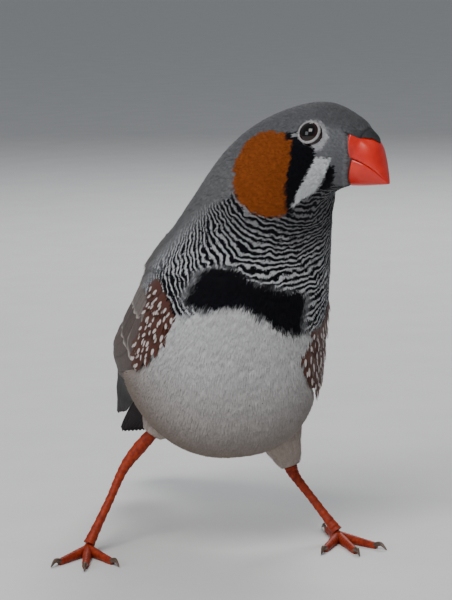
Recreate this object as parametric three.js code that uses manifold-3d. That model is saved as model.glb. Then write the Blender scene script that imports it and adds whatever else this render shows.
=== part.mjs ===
// Male zebra finch, standing, at life size.
// Millimetres, +Z up. The bird faces -Y and its left side is +X.
// The body is one long loft, from the tail tip along the back to the bill, cut across into its parts.
// Wings, legs, eyes and bill are set on that loft.
import * as THREE from "three";
import Module from "manifold-3d";
import { mergeVertices } from "three/addons/utils/BufferGeometryUtils.js";

const solids = await Module();
solids.setup();

// Fit between neighbours
const GAP = 0.32;
const SOCKET_GAP = 0.34;

// Stations of the body loft, from the tail tip to the base of the bill.
// centre: middle of the ring. pitch and yaw: where the ring faces, in degrees, yaw to the bird's left.
// half: half width. above and below: depth to the back and to the breast.
// full: how square the breast side is, from 2 for an ellipse.
const STATIONS = [
  { centre: [3.0, 48.0, 10.4], pitch: 38, yaw: 0, half: 4.8, above: 0.9, below: 0.9, full: 2 },
  { centre: [3.0, 34.5, 20.5], pitch: 36, yaw: 0, half: 5.0, above: 1.7, below: 1.6, full: 2 },
  { centre: [2.9, 22.0, 27.5], pitch: 33, yaw: 0, half: 8.2, above: 5.0, below: 8.8, full: 2 },
  { centre: [2.8, 12.0, 31.0], pitch: 35, yaw: 0, half: 14.4, above: 9.0, below: 18.8, full: 2.25 },
  { centre: [2.7, 3.5, 34.0], pitch: 45, yaw: 0, half: 15.8, above: 13.0, below: 21.8, full: 2.35 },
  { centre: [3.4, -2.8, 41.0], pitch: 60, yaw: 0, half: 15.0, above: 14.5, below: 15.6, full: 2.2 },
  { centre: [5.2, -6.2, 48.4], pitch: 68, yaw: 5, half: 13.4, above: 12.8, below: 12.0, full: 2 },
  { centre: [7.4, -8.0, 54.6], pitch: 62, yaw: 14, half: 11.4, above: 11.2, below: 10.0, full: 2 },
  { centre: [9.6, -9.8, 59.6], pitch: 43, yaw: 27, half: 9.9, above: 9.8, below: 9.4, full: 2 },
  { centre: [12.2, -12.2, 63.2], pitch: 20, yaw: 37, half: 8.7, above: 8.4, below: 9.6, full: 2 },
  { centre: [15.2, -15.0, 65.3], pitch: -4, yaw: 42, half: 7.3, above: 7.3, below: 8.6, full: 2 },
  { centre: [18.0, -17.7, 65.0], pitch: -17, yaw: 42, half: 5.3, above: 5.8, below: 6.4, full: 2 },
  { centre: [19.6, -19.4, 64.3], pitch: -20, yaw: 42, half: 3.5, above: 4.8, below: 4.9, full: 2 },
];
const TAIL_ROOT = 2;
const NECK_BASE = 7;
const NECK_TOP = 8.6;
const BILL_BASE = 12;

// Colours
const COLOURS = {
  grey: 0x7c7b7a,
  barred: 0x8f8d8a,
  white: 0xdcd8d0,
  wing: 0x6b6058,
  dark: 0x1e1a1a,
  bill: 0xc8321e,
  leg: 0xc2551f,
  eye: 0x2a0d0a,
  claw: 0x4a3a30,
};

// Angles and curves
const radians = (degrees) => (degrees * Math.PI) / 180;

function through(before, start, end, after, t) {
  const bend = 2 * before - 5 * start + 4 * end - after + t * (3 * (start - end) + after - before);
  return start + 0.5 * t * (end - before + t * bend);
}

function spineAt(place) {
  const last = STATIONS.length - 1;
  const index = Math.min(Math.max(Math.floor(place), 0), last - 1);
  const t = place - index;
  const nearby = [index - 1, index, index + 1, index + 2];
  const rows = nearby.map((i) => STATIONS[Math.min(Math.max(i, 0), last)]);
  const value = (read) => through(...rows.map(read), t);
  return {
    centre: new THREE.Vector3(
      value((row) => row.centre[0]),
      value((row) => row.centre[1]),
      value((row) => row.centre[2]),
    ),
    pitch: radians(value((row) => row.pitch)),
    yaw: radians(value((row) => row.yaw)),
    half: value((row) => row.half),
    above: value((row) => row.above),
    below: value((row) => row.below),
    full: value((row) => row.full),
  };
}

function axesOf(pitch, yaw) {
  const ahead = new THREE.Vector3(Math.sin(yaw), -Math.cos(yaw), 0);
  const up = new THREE.Vector3(0, 0, 1);
  return {
    forward: ahead.clone().multiplyScalar(Math.cos(pitch)).addScaledVector(up, Math.sin(pitch)),
    dorsal: ahead.clone().multiplyScalar(-Math.sin(pitch)).addScaledVector(up, Math.cos(pitch)),
    left: new THREE.Vector3(Math.cos(yaw), Math.sin(yaw), 0),
  };
}

// A point on the body: angle runs from the back (0) by the bird's left to the breast (half a turn).
function onBody(place, angle, lift = 0) {
  const ring = spineAt(place);
  const { dorsal, left } = axesOf(ring.pitch, ring.yaw);
  const back = Math.cos(angle) > 0;
  const depth = back ? ring.above : ring.below;
  const power = 2 / (back ? 2 : ring.full);
  const across = Math.sign(Math.sin(angle)) * Math.abs(Math.sin(angle)) ** power;
  const tall = Math.sign(Math.cos(angle)) * Math.abs(Math.cos(angle)) ** power;
  return ring.centre
    .clone()
    .addScaledVector(left, across * (ring.half + lift))
    .addScaledVector(dorsal, tall * (depth + lift));
}

// Solids
function solidOf(geometry) {
  const bare = geometry.clone();
  bare.deleteAttribute("normal");
  bare.deleteAttribute("uv");
  const merged = mergeVertices(bare, 1e-4);
  const vertProperties = new Float32Array(merged.attributes.position.array);
  const triVerts = new Uint32Array(merged.index.array);
  const whole = new solids.Manifold(new solids.Mesh({ numProp: 3, vertProperties, triVerts }));
  if (whole.volume() > 0) return whole;
  for (let i = 0; i < triVerts.length; i += 3) {
    [triVerts[i], triVerts[i + 1]] = [triVerts[i + 1], triVerts[i]];
  }
  return new solids.Manifold(new solids.Mesh({ numProp: 3, vertProperties, triVerts }));
}

function largest(solid) {
  const pieces = solid.decompose();
  return pieces.reduce((best, piece) => (piece.volume() > best.volume() ? piece : best));
}

function geometryOf(solid) {
  const mesh = largest(solid).getMesh();
  const geometry = new THREE.BufferGeometry();
  geometry.setAttribute("position", new THREE.BufferAttribute(new Float32Array(mesh.vertProperties), 3));
  geometry.setIndex(new THREE.BufferAttribute(new Uint32Array(mesh.triVerts), 1));
  geometry.computeVertexNormals();
  return geometry;
}

// A closed loft: rings between two end points. ringPoint(t, angle) and endPoint(t) take t from 0 to 1.
function loft(rings, sides, ringPoint, endPoint) {
  const geometry = new THREE.SphereGeometry(1, sides, rings + 1);
  const position = geometry.attributes.position;
  for (let row = 0; row <= rings + 1; row += 1) {
    const t = (row - 1) / (rings - 1);
    for (let column = 0; column <= sides; column += 1) {
      const angle = ((column % sides) / sides) * 2 * Math.PI;
      const atEnd = row === 0 || row === rings + 1;
      const point = atEnd ? endPoint(row === 0 ? 0 : 1) : ringPoint(t, angle);
      position.setXYZ(row * (sides + 1) + column, point.x, point.y, point.z);
    }
  }
  return solidOf(geometry);
}

// A closed sheet between an outer and an inner surface, with both faces split alike.
function sheet(rows, columns, outer, inner) {
  const geometry = new THREE.BoxGeometry(1, 1, 1, columns, rows, 1);
  const position = geometry.attributes.position;
  const spot = new THREE.Vector3();
  for (let i = 0; i < position.count; i += 1) {
    spot.fromBufferAttribute(position, i);
    const face = spot.z > 0 ? outer : inner;
    const point = face(0.5 - spot.y, spot.x + 0.5);
    position.setXYZ(i, point.x, point.y, point.z);
  }
  const index = geometry.index;
  const back = geometry.groups[5];
  for (let i = back.start; i < back.start + back.count; i += 6) {
    const [a, b, d, , c] = [0, 1, 2, 3, 4].map((step) => index.getX(i + step));
    [a, b, c, a, c, d].forEach((vertex, step) => index.setX(i + step, vertex));
  }
  return solidOf(geometry);
}

// The folded wings lie in shallow hollows of the torso.
// Edges of a wing in degrees from the back, and the lift of its outer face, at rows of places.
const WING_PLACES = [0.5, 1, 1.5, 2, 2.5, 3, 3.5, 4, 4.5, 5, 5.5, 6];
const WING_LOW = [96, 96, 96, 96, 96, 101, 104, 106, 107, 107, 104, 96];
const WING_HIGH = [60, 60, 60, 60, 60, 54, 44, 36, 32, 32, 40, 58];
const WING_LIFT = [1.9, 3.5, 3.7, 3.3, 1.9, 0.3, -0.3, -0.5, -0.8, -0.8, -0.9, -1.2];
const HOLLOW = { depth: 2.1, from: 2.7, to: 6.4, fade: 0.9, side: 12 };
const WING_RIM = 0.45;

const smooth = THREE.MathUtils.smoothstep;

function atPlace(row, place) {
  const last = row.length - 1;
  const scaled = THREE.MathUtils.clamp((place - WING_PLACES[0]) / (WING_PLACES[1] - WING_PLACES[0]), 0, last);
  const index = Math.min(Math.floor(scaled), last - 1);
  return THREE.MathUtils.lerp(row[index], row[index + 1], scaled - index);
}

// How far a turn from the back, in degrees, is below the wing's upper edge: 0 on the back, 1 on the side
function offBack(place, turn) {
  return smooth(turn, atPlace(WING_HIGH, place) - HOLLOW.side, atPlace(WING_HIGH, place) + HOLLOW.side);
}

function hollow(place, angle) {
  const turn = Math.abs(THREE.MathUtils.radToDeg(Math.atan2(Math.sin(angle), Math.cos(angle))));
  const { depth, from, to, fade, side } = HOLLOW;
  const inLength = smooth(place, from, from + fade) * (1 - smooth(place, to - fade, to));
  const below = 1 - smooth(turn, atPlace(WING_LOW, place) - side, atPlace(WING_LOW, place) + side);
  return depth * inLength * offBack(place, turn) * below;
}

// A stretch of the body loft between two cuts.
function stretch(from, to, rings, sides, { lift = 0, trimStart = GAP / 2, trimEnd = GAP / 2 } = {}) {
  const shift = (t) => {
    if (t === 0) return axesOf(spineAt(from).pitch, spineAt(from).yaw).forward.multiplyScalar(trimStart);
    if (t === 1) return axesOf(spineAt(to).pitch, spineAt(to).yaw).forward.multiplyScalar(-trimEnd);
    return new THREE.Vector3();
  };
  const place = (t) => THREE.MathUtils.lerp(from, to, t);
  return loft(
    rings,
    sides,
    (t, angle) => onBody(place(t), angle, lift - hollow(place(t), angle)).add(shift(t)),
    (t) => spineAt(place(t)).centre.add(shift(t)),
  );
}

// A tapered tube through a few points, round in section.
function limb(points, radii, rings, sides) {
  const path = new THREE.CatmullRomCurve3(points.map((point) => new THREE.Vector3(...point)));
  const side = new THREE.Vector3(1, 0, 0);
  const ringPoint = (t, angle) => {
    const tangent = path.getTangentAt(t);
    const across = side.clone().addScaledVector(tangent, -side.dot(tangent)).normalize();
    const other = new THREE.Vector3().crossVectors(tangent, across);
    const radius = radiusAt(radii, t);
    return path
      .getPointAt(t)
      .addScaledVector(across, Math.cos(angle) * radius)
      .addScaledVector(other, Math.sin(angle) * radius);
  };
  return loft(rings, sides, ringPoint, (t) => path.getPointAt(t));
}

function radiusAt(radii, t) {
  const scaled = t * (radii.length - 1);
  const index = Math.min(Math.floor(scaled), radii.length - 2);
  return THREE.MathUtils.lerp(radii[index], radii[index + 1], scaled - index);
}

function ball(centre, radius, sides) {
  const geometry = new THREE.SphereGeometry(radius, sides, Math.round(sides / 2));
  geometry.translate(...centre);
  return solidOf(geometry);
}

// Body, neck and head
const BODY_SIDES = 32;
const TORSO_RINGS = 19;
const NECK_RINGS = 7;
const HEAD_RINGS = 13;
const TORSO_ROOM = { lift: GAP, trimStart: -GAP, trimEnd: -GAP };
const torsoAround = stretch(TAIL_ROOT, NECK_BASE, TORSO_RINGS, BODY_SIDES, TORSO_ROOM);
const torso = stretch(TAIL_ROOT, NECK_BASE, TORSO_RINGS, BODY_SIDES);
const neck = stretch(NECK_BASE, NECK_TOP, NECK_RINGS, BODY_SIDES);

// Eyes, each in a socket with a raised lid round it
const EYE_PLACE = 10.0;
const EYE_ANGLE = radians(62);
const EYE_RADIUS = 2.0;
const EYE_SIDES = 16;
const EYE_SUNK = 1.25;
const LID_RADIUS = 1.85;
const LID_THICK = 0.42;
const LID_LIFT = 0.95;
const LID_SIDES = 6;

function eyeFrame(side) {
  const surface = onBody(EYE_PLACE, side * EYE_ANGLE);
  const outward = surface.clone().sub(spineAt(EYE_PLACE).centre).normalize();
  return { outward, centre: surface.addScaledVector(outward, -EYE_SUNK) };
}

const eye = (side) => ball(eyeFrame(side).centre.toArray(), EYE_RADIUS, EYE_SIDES);
const socket = (side) => ball(eyeFrame(side).centre.toArray(), EYE_RADIUS + SOCKET_GAP, EYE_SIDES);

function lid(side) {
  const { outward, centre } = eyeFrame(side);
  const ring = new THREE.TorusGeometry(LID_RADIUS, LID_THICK, LID_SIDES, EYE_SIDES);
  ring.applyQuaternion(new THREE.Quaternion().setFromUnitVectors(new THREE.Vector3(0, 0, 1), outward));
  const seat = centre.addScaledVector(outward, LID_LIFT);
  ring.translate(seat.x, seat.y, seat.z);
  return solidOf(ring);
}

const bareHead = stretch(NECK_TOP, BILL_BASE, HEAD_RINGS, BODY_SIDES);
const liddedHead = bareHead.add(lid(1)).add(lid(-1));
const head = liddedHead.subtract(socket(1)).subtract(socket(-1));

// Bill: each ring runs from the keel up to the ridge, turning about the chin as it nears the tip.
// ridge and keel: steps ahead of and above the middle of the bill's base, in the head's upright plane.
const BILL_RIDGE = [[1.5, 4.4], [3.25, 3.0], [4.15, 0.4], [4.6, -2.0], [4.75, -3.9]];
const BILL_KEEL = [[-1.5, -4.6], [0.5, -4.55], [2.5, -4.4], [3.9, -4.3], [4.65, -4.2]];
const BILL_HALF = [3.3, 2.9, 2.1, 1.2, 0.35];
const BILL_RINGS = 7;
const JAW_SIDES = 16;
// The jaws part at this share of the bill's height, and their outsides take this share of a ring
const MOUTH_SHARE = 0.5;
const MOUTH_SLIT = radians(5);
const OUTSIDE_SHARE = 0.8;
const NOSTRIL = { along: 0.1, angle: radians(42), radius: 0.42, sides: 8 };

function alongRow(row, t) {
  const scaled = t * (row.length - 1);
  const index = Math.min(Math.floor(scaled), row.length - 2);
  const nearby = [index - 1, index, index + 1, index + 2];
  const four = nearby.map((i) => row[Math.min(Math.max(i, 0), row.length - 1)]);
  return through(...four, scaled - index);
}

// A point on the bill: t from its base to its tip, angle from the ridge round to the keel
function onBill(t, angle) {
  const base = spineAt(BILL_BASE);
  const { forward, dorsal, left } = axesOf(0, base.yaw);
  const clear = axesOf(base.pitch, base.yaw).forward.multiplyScalar(GAP / 2);
  const point = (row) => [0, 1].map((k) => alongRow(row.map((values) => values[k]), t));
  const [keelAhead, keelUp] = point(BILL_KEEL);
  const [ridgeAhead, ridgeUp] = point(BILL_RIDGE);
  const height = (1 + Math.cos(angle)) / 2;
  return base.centre
    .add(clear)
    .addScaledVector(forward, THREE.MathUtils.lerp(keelAhead, ridgeAhead, height))
    .addScaledVector(dorsal, THREE.MathUtils.lerp(keelUp, ridgeUp, height))
    .addScaledVector(left, Math.sin(angle) * alongRow(BILL_HALF, t));
}

// One half of the bill: its outside runs from the first mouth edge to the last, and a flat closes it
function jaw(first, last) {
  const ringPoint = (t, angle) => {
    const turn = angle / (2 * Math.PI);
    if (turn <= OUTSIDE_SHARE) return onBill(t, THREE.MathUtils.lerp(first, last, turn / OUTSIDE_SHARE));
    const inside = (turn - OUTSIDE_SHARE) / (1 - OUTSIDE_SHARE);
    return onBill(t, last).lerp(onBill(t, first), inside);
  };
  const middle = (t) => onBill(t, first).lerp(onBill(t, last), 0.5);
  return loft(BILL_RINGS, JAW_SIDES, ringPoint, middle);
}

function nostril(side) {
  return ball(onBill(NOSTRIL.along, side * NOSTRIL.angle).toArray(), NOSTRIL.radius, NOSTRIL.sides);
}

const mouthAngle = Math.acos(2 * MOUTH_SHARE - 1);
const upperJaw = jaw(-mouthAngle + MOUTH_SLIT, mouthAngle - MOUTH_SLIT);
const billUpper = upperJaw.subtract(nostril(1)).subtract(nostril(-1));
const billLower = jaw(mouthAngle + MOUTH_SLIT, 2 * Math.PI - mouthAngle - MOUTH_SLIT);

// Tail: a short core under the coverts, and feathers stacked from the middle pair outward
// root and tip are places; step sets each next tip back; drop and fall lower each next feather
const TAIL_SIDES = 20;
const TAIL_RINGS = 6;
const TAIL_CORE_END = 0.85;
const TAIL_PAIRS = 5;
const TAIL_FEATHER = { root: 1.5, tip: 0.03, step: 0.035, width: 3.6, thick: 0.62, rise: 0.42, drop: 0.2 };
const TAIL_SPREAD = { root: 0.35, tip: 0.8 };
const TAIL_COVERTS = { count: 5, root: 1.85, tip: 0.95, step: 0.12, width: 3.4, thick: 0.6, rise: 1.1 };
const COVERT_FALL = 0.16;
const COVERT_SPREAD = { root: 1.1, tip: 1.25 };
const VANE_ROWS = { tail: 6, wing: 4 };

// A point on the tail, in millimetres to the bird's left and up from its middle
function onTail(place, across, rise) {
  const ring = spineAt(place);
  const { dorsal, left } = axesOf(ring.pitch, ring.yaw);
  return ring.centre.clone().addScaledVector(left, across).addScaledVector(dorsal, rise);
}

// Share of a feather's full width at t, from root (0) to tip (1)
const featherWidth = (t) => (0.7 + 0.3 * Math.sin(Math.PI * Math.min(t, 0.8))) * Math.sqrt(1.04 - t ** 6);

function tailFeather(across, rise, { root, tip, width, thick }) {
  const face = (height) => (t, v) => {
    const place = THREE.MathUtils.lerp(tip, root, t);
    const middle = THREE.MathUtils.lerp(across.tip, across.root, t);
    const edge = (v - 0.5) * width * featherWidth(1 - t);
    return onTail(place, middle + edge, rise + height);
  };
  return sheet(VANE_ROWS.tail, 1, face(thick / 2), face(-thick / 2));
}

function tail() {
  let whole = stretch(TAIL_CORE_END, TAIL_ROOT, TAIL_RINGS, TAIL_SIDES);
  for (let pair = 0; pair < TAIL_PAIRS; pair += 1) {
    const size = { ...TAIL_FEATHER, tip: TAIL_FEATHER.tip + TAIL_FEATHER.step * pair };
    for (const side of [1, -1]) {
      const out = side * (pair + 0.5);
      const rise = TAIL_FEATHER.rise - TAIL_FEATHER.drop * (pair + (side < 0 ? 0.5 : 0));
      const across = { root: out * TAIL_SPREAD.root, tip: out * TAIL_SPREAD.tip };
      whole = whole.add(tailFeather(across, rise, size));
    }
  }
  for (let i = 0; i < TAIL_COVERTS.count; i += 1) {
    const out = i - (TAIL_COVERTS.count - 1) / 2;
    const size = { ...TAIL_COVERTS, tip: TAIL_COVERTS.tip + TAIL_COVERTS.step * Math.abs(out) };
    const across = { root: out * COVERT_SPREAD.root, tip: out * COVERT_SPREAD.tip };
    whole = whole.add(tailFeather(across, TAIL_COVERTS.rise - COVERT_FALL * Math.abs(out), size));
  }
  return whole;
}

const TAIL_ROOM = { lift: GAP, trimStart: -1, trimEnd: -GAP };
const tailAround = stretch(0, TAIL_ROOT, 2 * TAIL_RINGS, TAIL_SIDES, TAIL_ROOM);

// Wings, folded along the body. Places and angles are those of the body loft, angles in degrees.
const WING_CORE = { from: 2.7, to: 6.0, rows: 10, columns: 7, under: 0.45, edge: 0.5, inner: -3 };
// Each tier: how many feathers, and for the first (lowest) and last (highest) one the place and
// angle of root and tip, with the width and the rise of root and tip above the wing's face.
const WING_TIERS = [
  { count: 6, root: [[3.9, 104], [3.6, 74]], tip: [[1.0, 106], [0.75, 74]], width: 4.4, rise: [-0.2, 0.0] },
  { count: 5, root: [[4.3, 100], [4.1, 50]], tip: [[2.75, 98], [2.0, 50]], width: 4.8, rise: [-0.1, 0.15] },
  { count: 3, root: [[4.2, 46], [4.0, 26]], tip: [[2.1, 36], [2.7, 18]], width: 5.0, rise: [0.2, 0.5] },
  { count: 6, root: [[5.2, 100], [4.9, 42]], tip: [[4.05, 103], [3.65, 44]], width: 5.0, rise: [0.05, 0.35] },
  { count: 6, root: [[5.8, 92], [5.5, 44]], tip: [[4.95, 103], [4.5, 42]], width: 5.0, rise: [0.1, 0.5] },
  { count: 4, root: [[5.6, 52], [5.2, 26]], tip: [[4.0, 36], [3.3, 20]], width: 5.0, rise: [0.3, 0.7] },
];
const VANE_THICK = 0.62;
const VANE_STEP = 0.12;

function alongWing(side, place, angle, rise) {
  const flush = atPlace(WING_LIFT, place);
  const lift = THREE.MathUtils.lerp(Math.max(flush, WING_RIM), flush, offBack(place, angle));
  return onBody(place, side * radians(angle), lift + rise);
}

function wingFeather(side, root, tip, width, rise) {
  const face = (sink) => (t, v) => {
    const back = 1 - t;
    const place = THREE.MathUtils.lerp(root[0], tip[0], back);
    const ring = spineAt(place);
    const radius = (ring.half + ring.above) / 2 + Math.max(atPlace(WING_LIFT, place), 0) + 1;
    const degreesWide = THREE.MathUtils.radToDeg((width * featherWidth(back)) / radius);
    const angle = THREE.MathUtils.lerp(root[1], tip[1], back) + (v - 0.5) * degreesWide;
    return alongWing(side, place, angle, THREE.MathUtils.lerp(rise[0], rise[1], back) - sink);
  };
  return sheet(VANE_ROWS.wing, 1, face(0), face(VANE_THICK));
}

function wingCore(side) {
  const { from, to, rows, columns, under, edge, inner } = WING_CORE;
  const face = (outer) => (t, v) => {
    const place = THREE.MathUtils.lerp(from, to, t);
    const angle = THREE.MathUtils.lerp(atPlace(WING_LOW, place), atPlace(WING_HIGH, place), v);
    const crown = Math.sin(Math.PI * v) ** 0.7;
    if (outer) return alongWing(side, place, angle, -under - edge * (1 - crown));
    return onBody(place, side * radians(angle), inner);
  };
  return sheet(rows, columns, face(true), face(false));
}

function wing(side) {
  let whole = wingCore(side);
  for (const tier of WING_TIERS) {
    for (let i = 0; i < tier.count; i += 1) {
      const share = i / (tier.count - 1);
      const blend = ([low, high]) => [0, 1].map((k) => THREE.MathUtils.lerp(low[k], high[k], share));
      const rise = tier.rise.map((value) => value + VANE_STEP * (i % 2));
      whole = whole.add(wingFeather(side, blend(tier.root), blend(tier.tip), tier.width, rise));
    }
  }
  return whole.subtract(torsoAround).subtract(tailAround);
}

// Legs. The feathers end at the cuff, and the heel is the backward bend below it.
// turn: where the foot points, in degrees from straight ahead to the bird's left.
const LEGS = {
  left: {
    hip: [11.3, 3.0, 22.0],
    cuff: [14.6, 1.6, 11.9],
    heel: [15.0, 1.1, 10.4],
    foot: [20.4, -4.6, 1.4],
    turn: -4,
  },
  right: {
    hip: [-4.5, 5.0, 23.0],
    cuff: [-7.8, 6.0, 18.2],
    heel: [-12.2, 6.4, 13.4],
    foot: [-20.1, 2.4, 1.4],
    turn: -18,
  },
};
const THIGH_RADII = [6.0, 4.4, 2.8, 1.35];
const THIGH_SIDES = 20;
const SHANK_RADII = [1.0, 1.1, 0.78, 0.68, 0.72, 0.95];
const SHANK_SIDES = 12;
const ANKLE = { from: 0.92, to: 0.99, radii: [0.98, 1.0] };
const LEG_RINGS = { thigh: 9, shank: 12, ankle: 3, toe: 7, claw: 5 };

function between(a, b, t) {
  return a.map((value, i) => THREE.MathUtils.lerp(value, b[i], t));
}

function thigh({ hip, cuff }) {
  const path = [hip, between(hip, cuff, 0.5), cuff];
  return limb(path, THIGH_RADII, LEG_RINGS.thigh, THIGH_SIDES).subtract(torsoAround);
}

function shank({ hip, cuff, heel, foot }) {
  const away = new THREE.Vector3(...heel).sub(new THREE.Vector3(...hip)).normalize();
  const start = new THREE.Vector3(...cuff).addScaledVector(away, GAP).toArray();
  const path = [start, heel, between(heel, foot, 0.45), between(heel, foot, 0.9)];
  return limb(path, SHANK_RADII, LEG_RINGS.shank, SHANK_SIDES);
}

// Toes: turn from the foot's direction in degrees, and the length to the claw.
const TOES = [
  { turn: -32, length: 8.0, claw: 2.6 },
  { turn: 0, length: 9.6, claw: 2.6 },
  { turn: 30, length: 8.4, claw: 2.6 },
  { turn: 180, length: 6.6, claw: 3.4 },
];
const TOE_WIDTHS = [1.7, 1.35, 1.45, 1.1, 1.15, 0.85];
const TOE_HEIGHT = { root: 1.5, tip: 0.9, middle: 0.45 };
const TOE_SIDES = 10;
// The sole is flat: a toe's ring is an ellipse about this share of its height, cut off at the floor
const TOE_ROUND = { centre: 0.5, reach: 0.62 };
const CLAW_RADII = [0.4, 0.3, 0.08];
const CLAW_RISE = [0.55, 0.85, 0.2];
const CLAW_SIDES = 8;

function toeFrame(leg, toe) {
  const turn = radians(leg.turn + toe.turn);
  return {
    ahead: new THREE.Vector3(Math.sin(turn), -Math.cos(turn), 0),
    across: new THREE.Vector3(Math.cos(turn), Math.sin(turn), 0),
    start: new THREE.Vector3(leg.foot[0], leg.foot[1], 0),
  };
}

function toeSolid(leg, toe) {
  const { ahead, across, start } = toeFrame(leg, toe);
  const ringPoint = (t, angle) => {
    const width = radiusAt(TOE_WIDTHS, t) / 2;
    const height = THREE.MathUtils.lerp(TOE_HEIGHT.root, TOE_HEIGHT.tip, t);
    const rise = Math.max(TOE_ROUND.centre + TOE_ROUND.reach * Math.cos(angle), 0) * height;
    return start
      .clone()
      .addScaledVector(ahead, toe.length * t)
      .addScaledVector(across, Math.sin(angle) * width)
      .setZ(rise);
  };
  const middle = (t) => start.clone().addScaledVector(ahead, toe.length * t).setZ(TOE_HEIGHT.middle);
  return loft(LEG_RINGS.toe, TOE_SIDES, ringPoint, middle);
}

function foot(leg) {
  const path = [between(leg.heel, leg.foot, ANKLE.from), between(leg.heel, leg.foot, ANKLE.to)];
  const ankle = limb(path, ANKLE.radii, LEG_RINGS.ankle, SHANK_SIDES);
  return TOES.reduce((whole, toe) => whole.add(toeSolid(leg, toe)), ankle);
}

function claw(leg, toe) {
  const { ahead, start } = toeFrame(leg, toe);
  const path = CLAW_RISE.map((rise, i) => {
    const reach = toe.length + GAP + (toe.claw * i) / (CLAW_RISE.length - 1);
    return start.clone().addScaledVector(ahead, reach).setZ(rise).toArray();
  });
  return limb(path, CLAW_RADII, LEG_RINGS.claw, CLAW_SIDES);
}

// Assembly
const finch = new THREE.Group();
function addPart(name, solid, colour, roughness = 0.8) {
  const material = new THREE.MeshStandardMaterial({ color: colour, roughness, metalness: 0 });
  const mesh = new THREE.Mesh(geometryOf(solid), material);
  mesh.name = name;
  finch.add(mesh);
}

addPart("torso", torso, COLOURS.white, 0.9);
addPart("neck", neck, COLOURS.barred, 0.9);
addPart("head", head, COLOURS.grey, 0.9);
addPart("bill_upper", billUpper, COLOURS.bill, 0.3);
addPart("bill_lower", billLower, COLOURS.bill, 0.3);
addPart("tail", tail(), COLOURS.dark, 0.7);
for (const [sideName, side] of [["left", 1], ["right", -1]]) {
  const leg = LEGS[sideName];
  addPart(`eye_${sideName}`, eye(side), COLOURS.eye, 0.1);
  addPart(`wing_${sideName}`, wing(side), COLOURS.wing, 0.8);
  addPart(`thigh_${sideName}`, thigh(leg), COLOURS.white, 0.9);
  addPart(`shank_${sideName}`, shank(leg), COLOURS.leg, 0.5);
  addPart(`foot_${sideName}`, foot(leg), COLOURS.leg, 0.5);
  TOES.forEach((toe, number) => {
    addPart(`claw_${sideName}_${number + 1}`, claw(leg, toe), COLOURS.claw, 0.4);
  });
}

// Origin at the middle of the bounding box, on the floor.
const bounds = new THREE.Box3().setFromObject(finch);
const middle = bounds.getCenter(new THREE.Vector3());
finch.position.set(-middle.x, -middle.y, -bounds.min.z);

export default finch;
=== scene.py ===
# %% [markdown]
# # A zebra finch, feather by feather
# The solid model gives the bird's body, wings, tail, bill, eyes, legs and feet at their real size.
# This lesson dresses it: one smooth skin, thousands of small overlapping feathers, long wing and
# tail feathers, a waxy bill, wet eyes and scaled legs. It starts by loading the solid model.

# %% Load the frame
import math

import bpy
import numpy as np
from mathutils import Matrix, Vector
from mathutils.kdtree import KDTree


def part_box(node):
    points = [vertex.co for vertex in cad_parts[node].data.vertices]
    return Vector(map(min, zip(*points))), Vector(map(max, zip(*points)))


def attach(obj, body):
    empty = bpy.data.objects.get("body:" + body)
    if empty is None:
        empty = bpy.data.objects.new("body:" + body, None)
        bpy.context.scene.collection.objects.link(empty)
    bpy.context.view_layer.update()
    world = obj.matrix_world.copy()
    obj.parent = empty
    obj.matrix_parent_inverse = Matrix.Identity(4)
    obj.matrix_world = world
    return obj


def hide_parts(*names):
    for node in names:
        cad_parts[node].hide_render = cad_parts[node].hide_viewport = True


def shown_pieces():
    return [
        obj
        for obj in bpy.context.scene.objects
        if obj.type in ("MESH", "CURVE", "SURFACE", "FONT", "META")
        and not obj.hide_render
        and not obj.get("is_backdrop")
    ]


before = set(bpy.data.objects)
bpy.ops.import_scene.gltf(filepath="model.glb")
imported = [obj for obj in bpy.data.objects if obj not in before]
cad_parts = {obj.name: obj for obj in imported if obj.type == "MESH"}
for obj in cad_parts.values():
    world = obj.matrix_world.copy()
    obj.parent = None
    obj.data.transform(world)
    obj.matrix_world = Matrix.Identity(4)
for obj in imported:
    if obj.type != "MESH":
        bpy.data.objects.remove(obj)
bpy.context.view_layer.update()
MM = 0.001
rng = np.random.default_rng(7)
print("solid nodes:", len(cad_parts))

# %% [markdown]
# ## The body as one long loft
# A bird's outline is easiest to describe as rings threaded on a bent spine, from the tail tip over
# the belly to the bill. The solids were made from such rings, so the same table is used here, and
# every feather can ask where the surface is at a place along the spine and an angle round it.
# The alternative, sculpting by hand, would not follow the solids so closely.

# %% The rings
# Each row: centre x, y, z, pitch, yaw, half width, depth above, depth below, fullness of the breast side.
STATIONS = np.array([
    [3.0, 48.0, 10.4, 38, 0, 4.8, 0.9, 0.9, 2],
    [3.0, 34.5, 20.5, 36, 0, 5.0, 1.7, 1.6, 2],
    [2.9, 22.0, 27.5, 33, 0, 8.2, 5.0, 8.8, 2],
    [2.8, 12.0, 31.0, 35, 0, 14.4, 9.0, 18.8, 2.25],
    [2.7, 3.5, 34.0, 45, 0, 15.8, 13.0, 21.8, 2.35],
    [3.4, -2.8, 41.0, 60, 0, 15.0, 14.5, 15.6, 2.2],
    [5.2, -6.2, 48.4, 68, 5, 13.4, 12.8, 12.0, 2],
    [7.4, -8.0, 54.6, 62, 14, 11.4, 11.2, 10.0, 2],
    [9.6, -9.8, 59.6, 43, 27, 9.9, 9.8, 9.4, 2],
    [12.2, -12.2, 63.2, 20, 37, 8.7, 8.4, 9.6, 2],
    [15.2, -15.0, 65.3, -4, 42, 7.3, 7.3, 8.6, 2],
    [18.0, -17.7, 65.0, -17, 42, 5.3, 5.8, 6.4, 2],
    [19.6, -19.4, 64.3, -20, 42, 3.5, 4.8, 4.9, 2],
])
TAIL_ROOT, BILL_BASE = 2.0, 12.0
EYE_PLACE, EYE_ANGLE, EYE_SUNK = 10.0, math.radians(62), 1.25

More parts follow.
